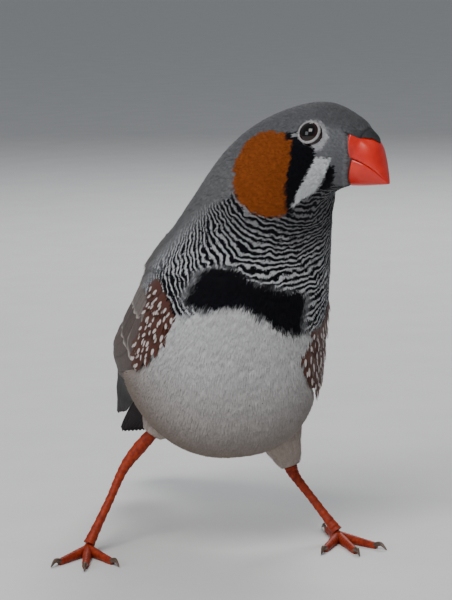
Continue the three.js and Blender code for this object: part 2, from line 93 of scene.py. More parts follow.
# %% Rings between the rows
def smooth_between(rows, index, share):
    """A share of the way from one row to the next, on a smooth curve through the rows around them."""
    before, start, end, after = [rows[np.clip(index + k, 0, len(rows) - 1)] for k in (-1, 0, 1, 2)]
    bend = 2 * before - 5 * start + 4 * end - after + share * (3 * (start - end) + after - before)
    return start + 0.5 * share * (end - before + share * bend)


def spine(place):
    """Rings at many places at once."""
    place = np.clip(np.asarray(place, float), 0, len(STATIONS) - 1)
    index = np.minimum(np.floor(place).astype(int), len(STATIONS) - 2)
    return smooth_between(STATIONS, index, (place - index)[..., None])


def ring_axes(pitch, yaw):
    """A ring's directions: forward along the spine, toward the back, and to the bird's left."""
    pitch, yaw = np.radians(pitch), np.radians(yaw)
    ahead = np.stack([np.sin(yaw), -np.cos(yaw), 0 * yaw], -1)
    up = np.array([0.0, 0.0, 1.0])
    forward = ahead * np.cos(pitch)[..., None] + up * np.sin(pitch)[..., None]
    dorsal = -ahead * np.sin(pitch)[..., None] + up * np.cos(pitch)[..., None]
    left = np.stack([np.cos(yaw), np.sin(yaw), 0 * yaw], -1)
    return forward, dorsal, left

# %% Points on the body
def on_body(place, angle, lift=0.0):
    """Points at a lift above the body. The angle runs from the back by the bird's left to the breast."""
    place, angle, lift = np.broadcast_arrays(np.asarray(place, float), angle, lift)
    ring = spine(place)
    _, dorsal, left = ring_axes(ring[..., 3], ring[..., 4])
    back = np.cos(angle) > 0
    depth = np.where(back, ring[..., 6], ring[..., 7])
    power = 2 / np.where(back, 2, ring[..., 8])
    across = np.sign(np.sin(angle)) * np.abs(np.sin(angle)) ** power
    tall = np.sign(np.cos(angle)) * np.abs(np.cos(angle)) ** power
    point = ring[..., :3] + left * (across * (ring[..., 5] + lift))[..., None]
    return point + dorsal * (tall * (depth + lift))[..., None]

# %% Where an eye sits
def eye_centre(side):
    """Middle of an eye as in the solid, and the way it looks. Side is 1 for left and -1 for right."""
    surface = on_body(EYE_PLACE, side * EYE_ANGLE)
    outward = surface - spine(EYE_PLACE)[:3]
    outward = outward / np.linalg.norm(outward)
    return surface - outward * EYE_SUNK, outward


low, high = (np.array(c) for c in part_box("eye_left"))
SHIFT = (low + high) / 2 / MM - eye_centre(1)[0]
print("loft shift in mm:", np.round(SHIFT, 3))

# %% [markdown]
# ## A hollow for each folded wing
# A folded wing lies flush with the flank, because the feathers under it are pressed flat. So the body
# is hollowed where the wings lie, and their outer face keeps to the outline of the loft. Behind the
# flanks the body narrows faster than the wing, whose tip therefore stands away from the rump.

# %% Wing seat
# Edges of a wing in degrees from the back and the lift of its outer face, at rows of places.
WING_PLACES = [0.5, 1, 1.5, 2, 2.5, 3, 3.5, 4, 4.5, 5, 5.5, 6]
WING_LOW = [96, 96, 96, 96, 96, 101, 104, 106, 107, 107, 104, 96]
WING_HIGH = [60, 60, 60, 60, 60, 54, 44, 36, 32, 32, 40, 58]
WING_LIFT = [1.9, 3.5, 3.7, 3.3, 1.9, 0.3, -0.3, -0.5, -0.8, -0.8, -0.9, -1.2]
# The wing's thinnest edge above the body, then the hollow's depth and how many degrees its side takes.
WING_RIM, HOLLOW_DEPTH, HOLLOW_SIDE = 0.45, 2.1, 12
# Places between which the hollow deepens, and between which it ends.
HOLLOW_START, HOLLOW_END = (2.7, 3.6), (5.5, 6.4)


def step(value, low_edge, high_edge):
    """Rises smoothly from 0 at one edge to 1 at the other."""
    t = np.clip((value - low_edge) / (high_edge - low_edge), 0, 1)
    return t * t * (3 - 2 * t)


def off_back(place, turn):
    """Rises from 0 on the back to 1 on the wing, across the wing's upper edge."""
    edge = np.interp(place, WING_PLACES, WING_HIGH)
    return step(turn, edge - HOLLOW_SIDE, edge + HOLLOW_SIDE)


def hollow(place, angle):
    """How deep the body is pressed in under the wing, in mm."""
    turn = np.abs(np.degrees(np.arctan2(np.sin(angle), np.cos(angle))))
    edge = np.interp(place, WING_PLACES, WING_LOW)
    below = 1 - step(turn, edge - HOLLOW_SIDE, edge + HOLLOW_SIDE)
    in_length = step(place, *HOLLOW_START) * (1 - step(place, *HOLLOW_END))
    return HOLLOW_DEPTH * in_length * off_back(place, turn) * below


def on_wing(side, place, turn, rise):
    """Points on the outer face of a folded wing, turn in degrees from the back."""
    flush = np.interp(place, WING_PLACES, WING_LIFT)
    lift = np.maximum(flush, WING_RIM) + (flush - np.maximum(flush, WING_RIM)) * off_back(place, turn)
    return on_body(place, side * np.radians(turn), lift + rise)


deepest = hollow(np.linspace(TAIL_ROOT, 7, 51)[:, None], np.radians(np.arange(0, 181, 5))[None, :]).max()
print("deepest wing hollow, mm:", round(float(deepest), 2))

# %% [markdown]
# ## Turning arrays into meshes
# Thousands of feathers are quick to make when all their corners are worked out in one array.
# A small helper hands such arrays to Blender, with colour and marking values on each corner.

# %% Mesh helper
def make_object(name, points, faces, uvs=None, bake=None, colours=None, marks=None):
    """A mesh object from points in mm, with the maps and the values on its corners that are given."""
    mesh = bpy.data.meshes.new(name)
    points = (np.asarray(points).reshape(-1, 3) + SHIFT) * MM
    faces = np.asarray(faces, np.int32)
    mesh.vertices.add(len(points))
    mesh.vertices.foreach_set("co", points.astype(np.float32).ravel())
    sides = faces.shape[1]
    mesh.loops.add(faces.size)
    mesh.loops.foreach_set("vertex_index", faces.ravel())
    mesh.polygons.add(len(faces))
    mesh.polygons.foreach_set("loop_start", np.arange(0, faces.size, sides, dtype=np.int32))
    mesh.update(calc_edges=True)
    mesh.shade_smooth()
    for title, values in (("Feather", uvs), ("OFBake", bake)):
        if values is not None:
            layer = mesh.uv_layers.new(name=title)
            layer.data.foreach_set("uv", values.reshape(-1, 2)[faces.ravel()].astype(np.float32).ravel())
    for title, values in (("plumage", colours), ("marks", marks)):
        if values is not None:
            layer = mesh.attributes.new(title, "FLOAT_COLOR", "POINT")
            layer.data.foreach_set("color", values.reshape(-1, 4).astype(np.float32).ravel())
    mesh.validate()
    thing = bpy.data.objects.new(name, mesh)
    bpy.context.scene.collection.objects.link(thing)
    return thing


def grid_faces(rows, columns, wrap=False):
    """Quads of a grid of points, row by row. With wrap the last column joins the first."""
    steps = columns if wrap else columns - 1
    row, column = np.meshgrid(np.arange(rows - 1), np.arange(steps), indexing="ij")
    a = (row * columns + column).ravel()
    b = (row * columns + (column + 1) % columns).ravel()
    return np.stack([a, b, b + columns, a + columns], -1)


print("faces of a closed strip of 3 rings with 8 corners each:", len(grid_faces(3, 8, wrap=True)))

# %% [markdown]
# ## Where the markings go
# A male zebra finch is a map of crisp marks: chestnut cheeks, black and white face stripes, a throat
# of fine black bars, a black breast band and a white belly. Painting them on an image would need a
# picture file. Here each mark is a short outline or a rule on the bird itself, so the skin and every
# feather can look up the same colour. The outlines of the face are in millimetres from the eye.

# %% Head directions and outlines of the face marks
HEAD_PITCH, HEAD_YAW = -15.0, 42.0
HEAD_AHEAD, HEAD_UP, HEAD_LEFT = ring_axes(np.array(HEAD_PITCH), np.array(HEAD_YAW))
HEAD_MIDDLE = (eye_centre(1)[0] + eye_centre(-1)[0]) / 2
# Outlines are (ahead of the eye, above the eye) in mm, seen from the side of the head.
CHEEK_PATCH = [(-3.0, -0.6), (-7.3, -1.6), (-9.4, -4.0), (-9.6, -7.6), (-8.5, -10.4), (-6.2, -12.7),
               (-3.4, -13.8), (-0.4, -13.4), (0.5, -12.2), (-0.5, -8.0), (-0.4, -4.5), (-1.2, -1.3)]
TEAR_STRIPE = [(-1.4, -1.2), (2.2, -1.7), (2.5, -3.6), (1.9, -6.2), (1.3, -8.4), (0.9, -11.0),
               (0.8, -13.0), (0.1, -12.2), (-0.8, -8.0), (-0.7, -4.5)]
WHITE_STRIPE = [(2.4, -3.1), (4.3, -2.9), (4.2, -4.6), (3.5, -6.8), (2.5, -8.9), (1.4, -10.3),
                (0.6, -11.6), (0.9, -8.8), (1.6, -6.4), (2.1, -4.6)]
BILL_STRIPE = [(4.3, -3.9), (5.0, -4.2), (4.9, -6.0), (4.0, -8.2), (2.9, -8.4), (3.6, -6.6)]
EYE_SPOT = [(-2.9, -0.6), (-1.9, -0.5), (-1.5, -1.4), (-2.4, -1.6)]


def inside(outline, across, up):
    """Signed distance to a closed outline in mm, above zero within it."""
    corners = np.array(outline, float)
    best = np.full(np.shape(across), 1e9)
    odd = np.zeros(np.shape(across), bool)
    for (x0, y0), (x1, y1) in zip(corners, np.roll(corners, -1, axis=0)):
        ex, ey = x1 - x0, y1 - y0
        t = np.clip(((across - x0) * ex + (up - y0) * ey) / (ex * ex + ey * ey), 0, 1)
        best = np.minimum(best, np.hypot(across - x0 - t * ex, up - y0 - t * ey))
        if y0 != y1:
            odd ^= ((y0 > up) != (y1 > up)) & (across < ex * (up - y0) / (y1 - y0) + x0)
    return np.where(odd, best, -best)


print("chestnut cheek, length and height in mm:", np.round(np.ptp(CHEEK_PATCH, axis=0), 1))

# %% [markdown]
# ## Bars that keep their spacing
# The throat bars are about one millimetre apart wherever they run. So their phase is the distance
# walked over the surface from the breast upward, worked out once on a grid and then looked up.

# %% Distance along the body
PLACE_STEPS, ANGLE_STEPS = 480, 180
PLACES = np.linspace(0, BILL_BASE, PLACE_STEPS + 1)
ANGLES = np.linspace(-math.pi, math.pi, ANGLE_STEPS + 1)
# The walk starts at this place, low on the breast.
WALK_START = 5.0
WALK_POINTS = on_body(PLACES[:, None], ANGLES[None, :])
STRETCH = np.linalg.norm(np.gradient(WALK_POINTS, PLACES, axis=0), axis=-1)
WALK = np.cumsum(STRETCH, axis=0) * (PLACES[1] - PLACES[0])
WALK -= WALK[np.searchsorted(PLACES, WALK_START)]

# %% Reading the walked distance
def lookup(table, place, angle):
    """Reads a table of the body's surface between its grid points."""
    row = np.clip(np.asarray(place, float) / BILL_BASE * PLACE_STEPS, 0, PLACE_STEPS - 0.001)
    turn = (np.asarray(angle) + math.pi) / (2 * math.pi) % 1.0
    column = np.clip(turn * ANGLE_STEPS, 0, ANGLE_STEPS - 0.001)
    r, c = row.astype(int), column.astype(int)
    fr, fc = row - r, column - c
    top = table[r, c] * (1 - fc) + table[r, c + 1] * fc
    return top * (1 - fr) + (table[r + 1, c] * (1 - fc) + table[r + 1, c + 1] * fc) * fr


underside = WALK[-1, 0] - WALK[np.searchsorted(PLACES, TAIL_ROOT), 0]
print("from the tail root over belly and throat to the bill, mm:", round(float(underside), 1))

# %% [markdown]
# ## The colour of every spot
# One function gives the ground colour and the strength of the bars anywhere on the bird. It mixes
# from the back forward: grey-brown mantle, grey head, barred throat, black band, white belly, and
# then the face marks. Their edges stay crisp because a feather takes one colour, that of the spot
# which its outer half covers.

# %% Plumage colours
GREY_HEAD = (0.090, 0.091, 0.098)
GREY_NECK = (0.112, 0.112, 0.117)
BAR_PALE = (0.48, 0.49, 0.51)
MANTLE = (0.120, 0.104, 0.094)
RUMP = (0.22, 0.21, 0.20)
BELLY = (0.45, 0.45, 0.455)
# Lower belly: its buff tone, darkened by painted shade under the body.
BELLY_LOW_SHADED = (0.15, 0.108, 0.082)
BLACK = (0.003, 0.003, 0.005)
CHESTNUT = (0.19, 0.045, 0.007)
CHESTNUT_DARK = (0.060, 0.016, 0.008)
WHITE = (0.60, 0.62, 0.63)
LORES = (0.150, 0.155, 0.165)
EYE_RIM = (0.40, 0.40, 0.42)

# %% Edges of the marks
# Bars: one black and one pale line in mm, how far up they reach at degrees from the breast's middle,
# and how pale the light lines are at places from the band upward.
BAR_PERIOD = 1.05
BAR_TURN = [0, 60, 90, 118]
BAR_TOP = [11.9, 10.6, 7.6, 6.6]
PALE_PLACES = [6.0, 6.8, 7.6, 9.0]
PALE_SHARES = [1.0, 0.62, 0.24, 0.12]
# Breast band: degrees to the bird's right of the breast's middle, and the place of its two edges.
BAND_TURN = [-80, -46, -21, -10, 0, 19, 26, 36, 47, 56, 64, 78, 100]
BAND_TOP = [5.20, 5.60, 5.92, 6.02, 6.10, 6.22, 6.32, 6.42, 6.38, 6.26, 6.12, 5.84, 5.6]
BAND_LOW = [5.10, 5.17, 5.25, 5.35, 5.52, 5.74, 5.70, 5.62, 5.56, 5.54, 5.56, 5.60, 5.6]
BELLY_TOP = [5.10, 5.17, 5.25, 5.35, 5.52, 5.74, 5.70, 5.60, 5.50, 5.36, 5.20, 5.12, 5.1]
# Flanks: where the spotted chestnut ends toward the belly, in degrees from the back.
FLANK_PLACES = [2.4, 4.0, 4.4, 4.7, 5.0, 5.2, 5.4]
FLANK_RIGHT = [90, 100, 108, 116, 121, 120, 108]
FLANK_LEFT = [90, 118, 136, 147, 144, 110, 90]
# Degrees by which it is tucked under the wing, and the answer for spots that are nowhere near it.
FLANK_TUCK, OFF_FLANK = 15, -90
# Face marks, painted one over the other, with the half width of their soft edge in mm.
FACE_MARKS = ((CHEEK_PATCH, CHESTNUT), (TEAR_STRIPE, BLACK), (WHITE_STRIPE, WHITE),
              (BILL_STRIPE, BLACK), (EYE_SPOT, BLACK))
MARK_EDGE = 0.12

# %% Measures for the markings
def mix(base, colour, amount):
    """Moves an array of colours toward one colour, each by its own amount."""
    return base + (np.asarray(colour) - base) * amount[..., None]


def face_of(point):
    """How far a point is ahead of, above and beside the middle of the eyes, in mm."""
    away = point - HEAD_MIDDLE
    return away @ HEAD_AHEAD, away @ HEAD_UP, away @ HEAD_LEFT


def flank_edge(place, angle):
    """How many degrees a spot lies inside the chestnut flank's lower edge."""
    turn = np.degrees(angle)
    right_edge = np.interp(place, FLANK_PLACES, FLANK_RIGHT)
    left_edge = np.interp(place, FLANK_PLACES, FLANK_LEFT)
    edge = np.where(turn < 0, right_edge, left_edge)
    beside = np.abs(turn) > np.interp(place, WING_PLACES, WING_LOW) - FLANK_TUCK
    in_reach = (place > FLANK_PLACES[0]) & (place < FLANK_PLACES[-1])
    return np.where(in_reach & beside, edge - np.abs(turn), OFF_FLANK)


def breast_turn(angle):
    """Degrees from the middle of the breast toward the bird's right."""
    return np.degrees(np.arctan2(np.sin(-angle), -np.cos(angle)))


def bar_phase(place, angle):
    """Bars run round the body, and slant down the side of the breast."""
    slant = np.clip(np.abs(breast_turn(angle)) - 38, 0, 80) ** 1.5 / 60
    return (lookup(WALK, place, angle) - slant * step(place, 8.2, 6.6)) / BAR_PERIOD

# %% One function for every spot
def plumage(place, angle):
    """Ground colour, bar strength and how wide the black bars are on the body."""
    place, angle = np.broadcast_arrays(np.asarray(place, float), angle)
    ahead, up, beside = face_of(on_body(place, angle))
    to_right = breast_turn(angle)
    from_breast = np.abs(to_right)
    # back, neck and head
    colour = np.zeros(place.shape + (3,)) + np.array(MANTLE)
    colour = mix(colour, RUMP, step(place, 3.2, 2.6) * step(from_breast, 100, 120))
    colour = mix(colour, GREY_NECK, step(place, 5.2, 6.4))
    colour = mix(colour, GREY_HEAD, step(place, 7.6, 8.8))
    band_top = np.interp(to_right, BAND_TURN, BAND_TOP)
    band_low = np.interp(to_right, BAND_TURN, BAND_LOW)
    belly_top = np.interp(to_right, BAND_TURN, BELLY_TOP)
    # breast and belly
    breast = step(from_breast, 125, 96)
    under = step(from_breast, 128, 112)
    belly = under * step(place, belly_top + 0.03, belly_top - 0.03)
    # Painted shade: toward the tail the belly turns a dark warm brown, partly its buff tone and partly shade
    # under the body.
    low_belly_shade = step(place, 5.3, 3.5)
    colour = mix(colour, GREY_NECK, breast * step(place, 5.0, 5.5))
    colour = mix(colour, BELLY, belly)
    colour = mix(colour, BELLY_LOW_SHADED, belly * low_belly_shade * 0.9)
    # bars from the band up to the chin, fading to plain grey toward the back
    barred = step(place, belly_top, belly_top + 0.06) * step(from_breast, 112, 84)
    high_edge = np.interp(from_breast, BAR_TURN, BAR_TOP)
    barred = barred * step(place, high_edge + 0.15, high_edge - 0.15)
    colour = mix(colour, BAR_PALE, barred * np.interp(place, PALE_PLACES, PALE_SHARES))
    band = step(place, band_low, band_low + 0.04) * step(place, band_top + 0.05, band_top - 0.05)
    band = band * step(to_right, -34, -24) * step(to_right, 64, 54)
    colour = mix(colour, BLACK, band)
    barred = barred * (1 - band)
    # beyond the band's right end the black breaks up into broad bars with thin pale lines between
    width = 1.0 + 0.75 * step(to_right, 48, 60) * step(place, band_top + 0.1, band_top - 0.1)
    # flank
    colour = mix(colour, CHESTNUT_DARK, (flank_edge(place, angle) > 0).astype(float))
    barred = barred * (flank_edge(place, angle) <= 0)
    # face
    face = step(place, 7.2, 7.5)
    rim = np.hypot(ahead - 0.8, up + 0.3)
    near_eye = face * step(np.abs(beside), 4.5, 5.5)
    colour = mix(colour, LORES, face * step(ahead, 1.0, 3.0) * step(up, 2.5, 1.0) * (1 - barred))
    colour = mix(colour, EYE_RIM, near_eye * step(rim, 2.75, 2.3))
    for outline, tint in FACE_MARKS:
        spot = face * step(inside(outline, ahead, up), -MARK_EDGE, MARK_EDGE)
        colour = mix(colour, tint, spot)
        barred = barred * (1 - spot)
    return colour, barred, width

# %% Three spots tried out
for title, at_place, at_angle in (("crown", 11, 0), ("band", 5.8, math.pi), ("belly", 4.5, math.pi)):
    print(title, "colour:", np.round(plumage(at_place, np.array(float(at_angle)))[0], 3))

# %% [markdown]
# ## Limbs as tapered tubes
# A thigh is a feathered cone that ends in a narrow cuff, from which the bare shank comes out. Thighs,
# shanks and claws are all tapered tubes round a bent line, so one function makes the surface of each
# of them from a few points and radii. The points of the legs are the same as in the solids. On a
# real bird both shanks are equally long. Here the left one is about 3 mm shorter, as in the solids.

# %% Limbs
# For each side: the leg's joints in mm and how many degrees the middle toe is turned.
LEGS = {
    1: dict(hip=(11.3, 3.0, 22.0), cuff=(14.6, 1.6, 11.9), heel=(15.0, 1.1, 10.4),
            foot=(20.4, -4.6, 1.4), turn=-4),
    -1: dict(hip=(-4.5, 5.0, 23.0), cuff=(-7.8, 6.0, 18.2), heel=(-12.2, 6.4, 13.4),
             foot=(-20.1, 2.4, 1.4), turn=-18),
}
THIGH_RADII = [6.0, 4.4, 2.8, 1.35]

# %% Tubes
def curve_through(points, t):
    """Points at shares t of a smooth curve through a few points."""
    points = np.array(points, float)
    scaled = np.clip(np.asarray(t, float), 0, 1) * (len(points) - 1)
    index = np.minimum(scaled.astype(int), len(points) - 2)
    return smooth_between(points, index, (scaled - index)[..., None])


def on_limb(points, radii, t, angle, lift=0.0):
    """Points on a tapered tube; t runs from its first point to its last."""
    t, angle, lift = np.broadcast_arrays(np.asarray(t, float), angle, lift)
    centre = curve_through(points, t)
    tangent = curve_through(points, t + 0.01) - curve_through(points, t - 0.01)
    tangent /= np.linalg.norm(tangent, axis=-1, keepdims=True)
    side = np.array([1.0, 0.0, 0.0]) - tangent * tangent[..., :1]
    side /= np.linalg.norm(side, axis=-1, keepdims=True)
    other = np.cross(tangent, side)
    radius = np.interp(t, np.linspace(0, 1, len(radii)), radii) + lift
    return centre + (side * np.cos(angle)[..., None] + other * np.sin(angle)[..., None]) * radius[..., None]


def tube(surface, rows, columns, start=0.0, end=1.0):
    """A closed tube as points and quads; its ends are drawn in to their middles."""
    t = np.linspace(start, end, rows)
    turns = np.arange(columns) * 2 * math.pi / columns
    rings = surface(t[:, None], turns[None, :])
    first, last = rings[0].mean(0), rings[-1].mean(0)
    rings = np.concatenate([np.repeat(first[None, None], columns, 1), rings,
                            np.repeat(last[None, None], columns, 1)])
    return rings.reshape(-1, 3), grid_faces(rows + 2, columns, wrap=True)


def thigh_at(side):
    """The surface of one thigh, as a function of the share of its length and an angle."""
    leg = LEGS[side]
    middle = [(a + b) / 2 for a, b in zip(leg["hip"], leg["cuff"])]
    return lambda t, angle, lift=0.0: on_limb([leg["hip"], middle, leg["cuff"]], THIGH_RADII, t, angle, lift)


def joined(shapes):
    """Points and faces of several shapes as those of one."""
    points, faces, count = [], [], 0
    for some_points, some_faces in shapes:
        points.append(some_points)
        faces.append(some_faces + count)
        count += len(some_points)
    return np.concatenate(points), np.concatenate(faces)


for side, title in ((1, "left"), (-1, "right")):
    length = np.linalg.norm(np.subtract(LEGS[side]["heel"], LEGS[side]["foot"]))
    print(f"{title} shank from heel to foot, mm:", round(float(length), 1))

# %% [markdown]
# ## One skin under all the feathers
# On the bird the skin runs unbroken over body, neck, head and thighs, some way under the feather
# tips. The loft is sunk a little, and more under the wings, and joined with the two thighs by
# remeshing into one closed surface. Overlapping tubes would be simpler, but would show a seam.

# %% The skin
BODY_SUNK, HEAD_SUNK, THIGH_SUNK = 0.65, 0.4, 0.7
NECK_PLACES = [7.5, 9.5]
# The skin ends under the roots of the tail, and inside the cuff of the thigh.
SKIN_START, CUFF_SHARE = TAIL_ROOT - 0.7, 0.97


def body_sunk(place, angle):
    """The body's skin: below the loft, less on the head, and pressed in under the wings."""
    sunk = np.interp(place, NECK_PLACES, [BODY_SUNK, HEAD_SUNK])
    return on_body(place, angle, -sunk - hollow(place, angle))


shapes = [tube(body_sunk, 140, 96, SKIN_START, BILL_BASE)]
for side in (1, -1):
    shapes.append(tube(lambda t, a, s=side: thigh_at(s)(t, a, -THIGH_SUNK), 24, 32, 0.0, CUFF_SHARE))
rough_skin = make_object("rough_skin", *joined(shapes))
remesh = rough_skin.modifiers.new("one surface", "REMESH")
remesh.mode = "VOXEL"
remesh.voxel_size = 0.5 * MM
smooth = rough_skin.modifiers.new("even out", "SMOOTH")
smooth.iterations = 6
fused = bpy.data.meshes.new_from_object(rough_skin.evaluated_get(bpy.context.evaluated_depsgraph_get()))
bpy.data.objects.remove(rough_skin)
skin_points = np.empty(len(fused.vertices) * 3)
fused.vertices.foreach_get("co", skin_points)
skin_points = skin_points.reshape(-1, 3) / MM - SHIFT
fused.polygons.foreach_set("use_smooth", np.ones(len(fused.polygons), bool))
print("skin corners:", len(skin_points))

# %% [markdown]
# ## Markings on the skin
# Remeshing forgets which place and angle a corner came from. So each corner of the skin searches the
# grid of the loft for its nearest point, which gives it the same markings as the feathers above it.
# Painting by hand would leave a different edge under the coat wherever the feathers part.

# %% Skin markings
SEARCH_STEP = 2
coarse = WALK_POINTS[::SEARCH_STEP, ::SEARCH_STEP]
near = KDTree(coarse.size // 3)
for number, point in enumerate(coarse.reshape(-1, 3)):
    near.insert(point, number)
near.balance()
nearest = np.array([near.find(point)[1] for point in skin_points])
skin_place = PLACES[::SEARCH_STEP][nearest // coarse.shape[1]]
skin_angle = ANGLES[::SEARCH_STEP][nearest % coarse.shape[1]]
skin_colour, skin_barred, skin_width = plumage(skin_place, skin_angle)
skin_phase = bar_phase(skin_place, skin_angle)
# Its share along a feather is 0, so the skin takes the plumage's painted root shade at its darkest.
for title, values in (
    ("plumage", np.column_stack([skin_colour, np.ones(len(skin_colour))])),
    ("marks", np.column_stack([skin_phase, skin_barred, skin_width, 0 * skin_phase])),
):
    layer = fused.attributes.new(title, "FLOAT_COLOR", "POINT")
    layer.data.foreach_set("color", values.astype(np.float32).ravel())
skin = bpy.data.objects.new("skin", fused)
bpy.context.scene.collection.objects.link(skin)
print("share of skin corners with bars:", round(float((skin_barred > 0.5).mean()), 2))

# %% [markdown]
# ## A feather as a small fan
# A body feather is a soft fan of barbs on a short shaft. Each one here is a little mesh: a root, a
# palm that widens, and five pointed barbs at its tip, all bent to follow the body. Its root is sunk
# to the skin and its tip lies on the surface, so neighbours overlap like roof tiles. Flat cards with
# a picture would be lighter but would need image files and look cut out from the side.

# %% Shape of one fan
# Corners of one fan: share of its length, and share of its half width. The last five are its barbs.
FAN_ALONG = np.array([0] + [0.36] * 6 + [0.72] * 6 + [0.88, 0.97, 1.0, 0.97, 0.88])
FAN_ACROSS = np.array([0, -0.8, -0.5, -0.17, 0.17, 0.5, 0.8, -1, -0.6, -0.2, 0.2, 0.6, 1,
                       -0.86, -0.43, 0, 0.43, 0.86])
FAN_FACES = []
for rib in range(5):
    FAN_FACES.append((0, 1 + rib, 2 + rib))
    FAN_FACES.append((1 + rib, 7 + rib, 8 + rib))
    FAN_FACES.append((1 + rib, 8 + rib, 2 + rib))
    FAN_FACES.append((7 + rib, 13 + rib, 8 + rib))
FAN_FACES = np.array(FAN_FACES)
FAN_CORNERS, FAN_MIDDLE, FAN_TIPS = 18, 9, 13
print("one fan has", len(FAN_ALONG), "corners and", len(FAN_FACES), "triangles")
# Side of the patch that each feather gets on the bake map, and how much its bars are out of step.
BAKE_PATCH, PHASE_WOBBLE = 0.003, 0.09

# %% [markdown]
# ## From a flat fan to a bent feather
# To lay a fan, its flat outline is measured out from the root over the body: so many millimetres
# backward and sideways, turned into steps of place and angle by how far the surface stretches there.
# Fans set on the body as stiff copies would be simpler, but they would stick out where it curves.

# %% Laying fans on a surface
def surface_scale(surface, place, angle):
    """Millimetres of surface for one step of place and for one radian."""
    nudge = 1e-3
    along = np.linalg.norm(surface(place + nudge, angle) - surface(place - nudge, angle), axis=-1)
    around = np.linalg.norm(surface(place, angle + nudge) - surface(place, angle - nudge), axis=-1)
    return np.maximum(along / 2 / nudge, 1.0), np.maximum(around / 2 / nudge, 0.8)


def fans(surface, place, angle, length, width, sunk, raised, flow=-1, ragged=0.1, turn=0.12, camber=0.16,
         limits=(0.1, 12.2)):
    """Corner points, feather coordinates and the lie of many fans with roots at place and angle."""
    count = len(place)
    along, around = surface_scale(surface, place, angle)
    length = (length * rng.uniform(0.82, 1.18, count))[:, None]
    half = (width / 2 * rng.uniform(0.85, 1.15, count))[:, None]
    turned = rng.normal(0, turn, count)[:, None]
    share = FAN_ALONG[None, :] * np.ones((count, 1))
    share[:, FAN_TIPS:] += rng.normal(0, ragged, (count, FAN_CORNERS - FAN_TIPS))
    across = FAN_ACROSS[None, :] * half
    across[:, FAN_TIPS:] += rng.normal(0, 0.12, (count, FAN_CORNERS - FAN_TIPS)) * half
    forth = length * share
    steps = (forth * np.cos(turned) - across * np.sin(turned)) * flow
    sideways = forth * np.sin(turned) + across * np.cos(turned)
    at_place = np.clip(place[:, None] + steps / along[:, None], limits[0], limits[1])
    at_angle = angle[:, None] + sideways / around[:, None]
    tip_lift = (raised * rng.uniform(0.5, 1.3, count))[:, None]
    lift = -sunk + (sunk + tip_lift) * np.clip(share, 0, 1) ** 0.7
    lift = lift + camber * half * (1 - FAN_ACROSS[None, :] ** 2)
    points = surface(at_place, at_angle, lift)
    return points, np.broadcast_to(FAN_ACROSS / 2 + 0.5, share.shape), share, at_place, at_angle

# %% Many fans as one mesh
def fan_object(name, laid, place, angle, colour=None):
    """One joined mesh of fans, in given colours or else in that of the spot each outer half covers."""
    points, across, share, at_place, at_angle = laid
    count = len(points)
    if colour is None:
        seen_place = np.clip(at_place[:, FAN_MIDDLE], 0, BILL_BASE)
        colour, barred, width = plumage(seen_place, at_angle[:, FAN_MIDDLE])
    else:
        barred, width = np.zeros(count), np.zeros(count)
    faces = (FAN_FACES[None] + FAN_CORNERS * np.arange(count)[:, None, None]).reshape(-1, 3)
    tone = rng.uniform(0.93, 1.07, (count, 1, 1))
    colours = np.ones((count, FAN_CORNERS, 4))
    colours[..., :3] = colour[:, None, :] * tone
    phase = bar_phase(at_place, at_angle) + rng.normal(0, PHASE_WOBBLE, (count, 1))
    marks = np.stack([phase, np.broadcast_to(barred[:, None], phase.shape),
                      np.broadcast_to(width[:, None], phase.shape), share], -1)
    seat = np.stack([place / BILL_BASE, (angle / (2 * math.pi) + 0.5) % 1.0], -1)
    patch = np.stack([across - 0.5, share - 0.5], -1) * BAKE_PATCH
    bake = np.clip(seat, 0.002, 0.998)[:, None, :] + patch
    thing = make_object(name, points, faces, uvs=np.stack([across, share], -1), bake=bake,
                        colours=colours, marks=marks)
    print(f"{name}: {count} feathers, {len(faces)} triangles")
    return thing


# %% [markdown]
# ## Rows of roots
# Real feathers grow in rows, and each row fills the gaps of the one before. Here the rows run round
# the body, every second one shifted by half a step, and each root is moved a little by chance. Where
# the rows crowd together, as on the inside of a bend, some roots are left out. Roots thrown wholly by
# chance would leave bald spots and clumps.

# %% Rows of roots
FULL_TURN = 2 * math.pi
# Points round a ring at which its surface is measured, and how many steps a root may stray.
RING_SAMPLES, STRAY = 64, 0.4


def scattered(surface, first, last, spacing):
    """Roots in staggered rows over a stretch of surface, thinned where the rows crowd together."""
    places, angles = [], []
    ring = np.linspace(-math.pi, math.pi, RING_SAMPLES)
    place = first
    odd = 0
    while place < last:
        gap = float(np.interp(place, *spacing)) if isinstance(spacing, tuple) else spacing
        along, around = surface_scale(surface, np.full(RING_SAMPLES, place), ring)
        count = max(int(around.mean() * FULL_TURN / gap), 3)
        turns = (np.arange(count) + 0.5 * odd) * FULL_TURN / count - math.pi
        turns = turns + rng.uniform(-STRAY, STRAY, count) * FULL_TURN / count
        row = place + rng.uniform(-STRAY, STRAY, count) * gap / along.max()
        kept = rng.uniform(0, 1, count) < np.interp(turns, ring, along) / along.max()
        places.append(row[kept])
        angles.append(turns[kept])
        place += gap / along.max()
        odd = 1 - odd
    return np.concatenate(places), (np.concatenate(angles) + math.pi) % FULL_TURN - math.pi


samples = np.linspace(-math.pi, math.pi, RING_SAMPLES)
along, around = surface_scale(on_body, np.full(RING_SAMPLES, 4.0), samples)
print("once round the body at the belly, mm:", round(float(around.mean() * FULL_TURN)))
print("one place along the belly, mm:", round(float(along.max()), 1))

# %% [markdown]
# ## Where no small feathers grow
# Under the folded wings, the eyes and the horn of the bill small feathers would only poke through.
# Rather than cutting them off afterwards, three short rules tell which roots to leave out.

# %% Bare places
# The wing covers the body between these places.
COVERED_FROM, COVERED_TO = 2.4, 5.45
# Millimetres by which the finished eye sits ahead of and below the solid's.
EYE_AHEAD, EYE_BELOW = 0.5, 0.1
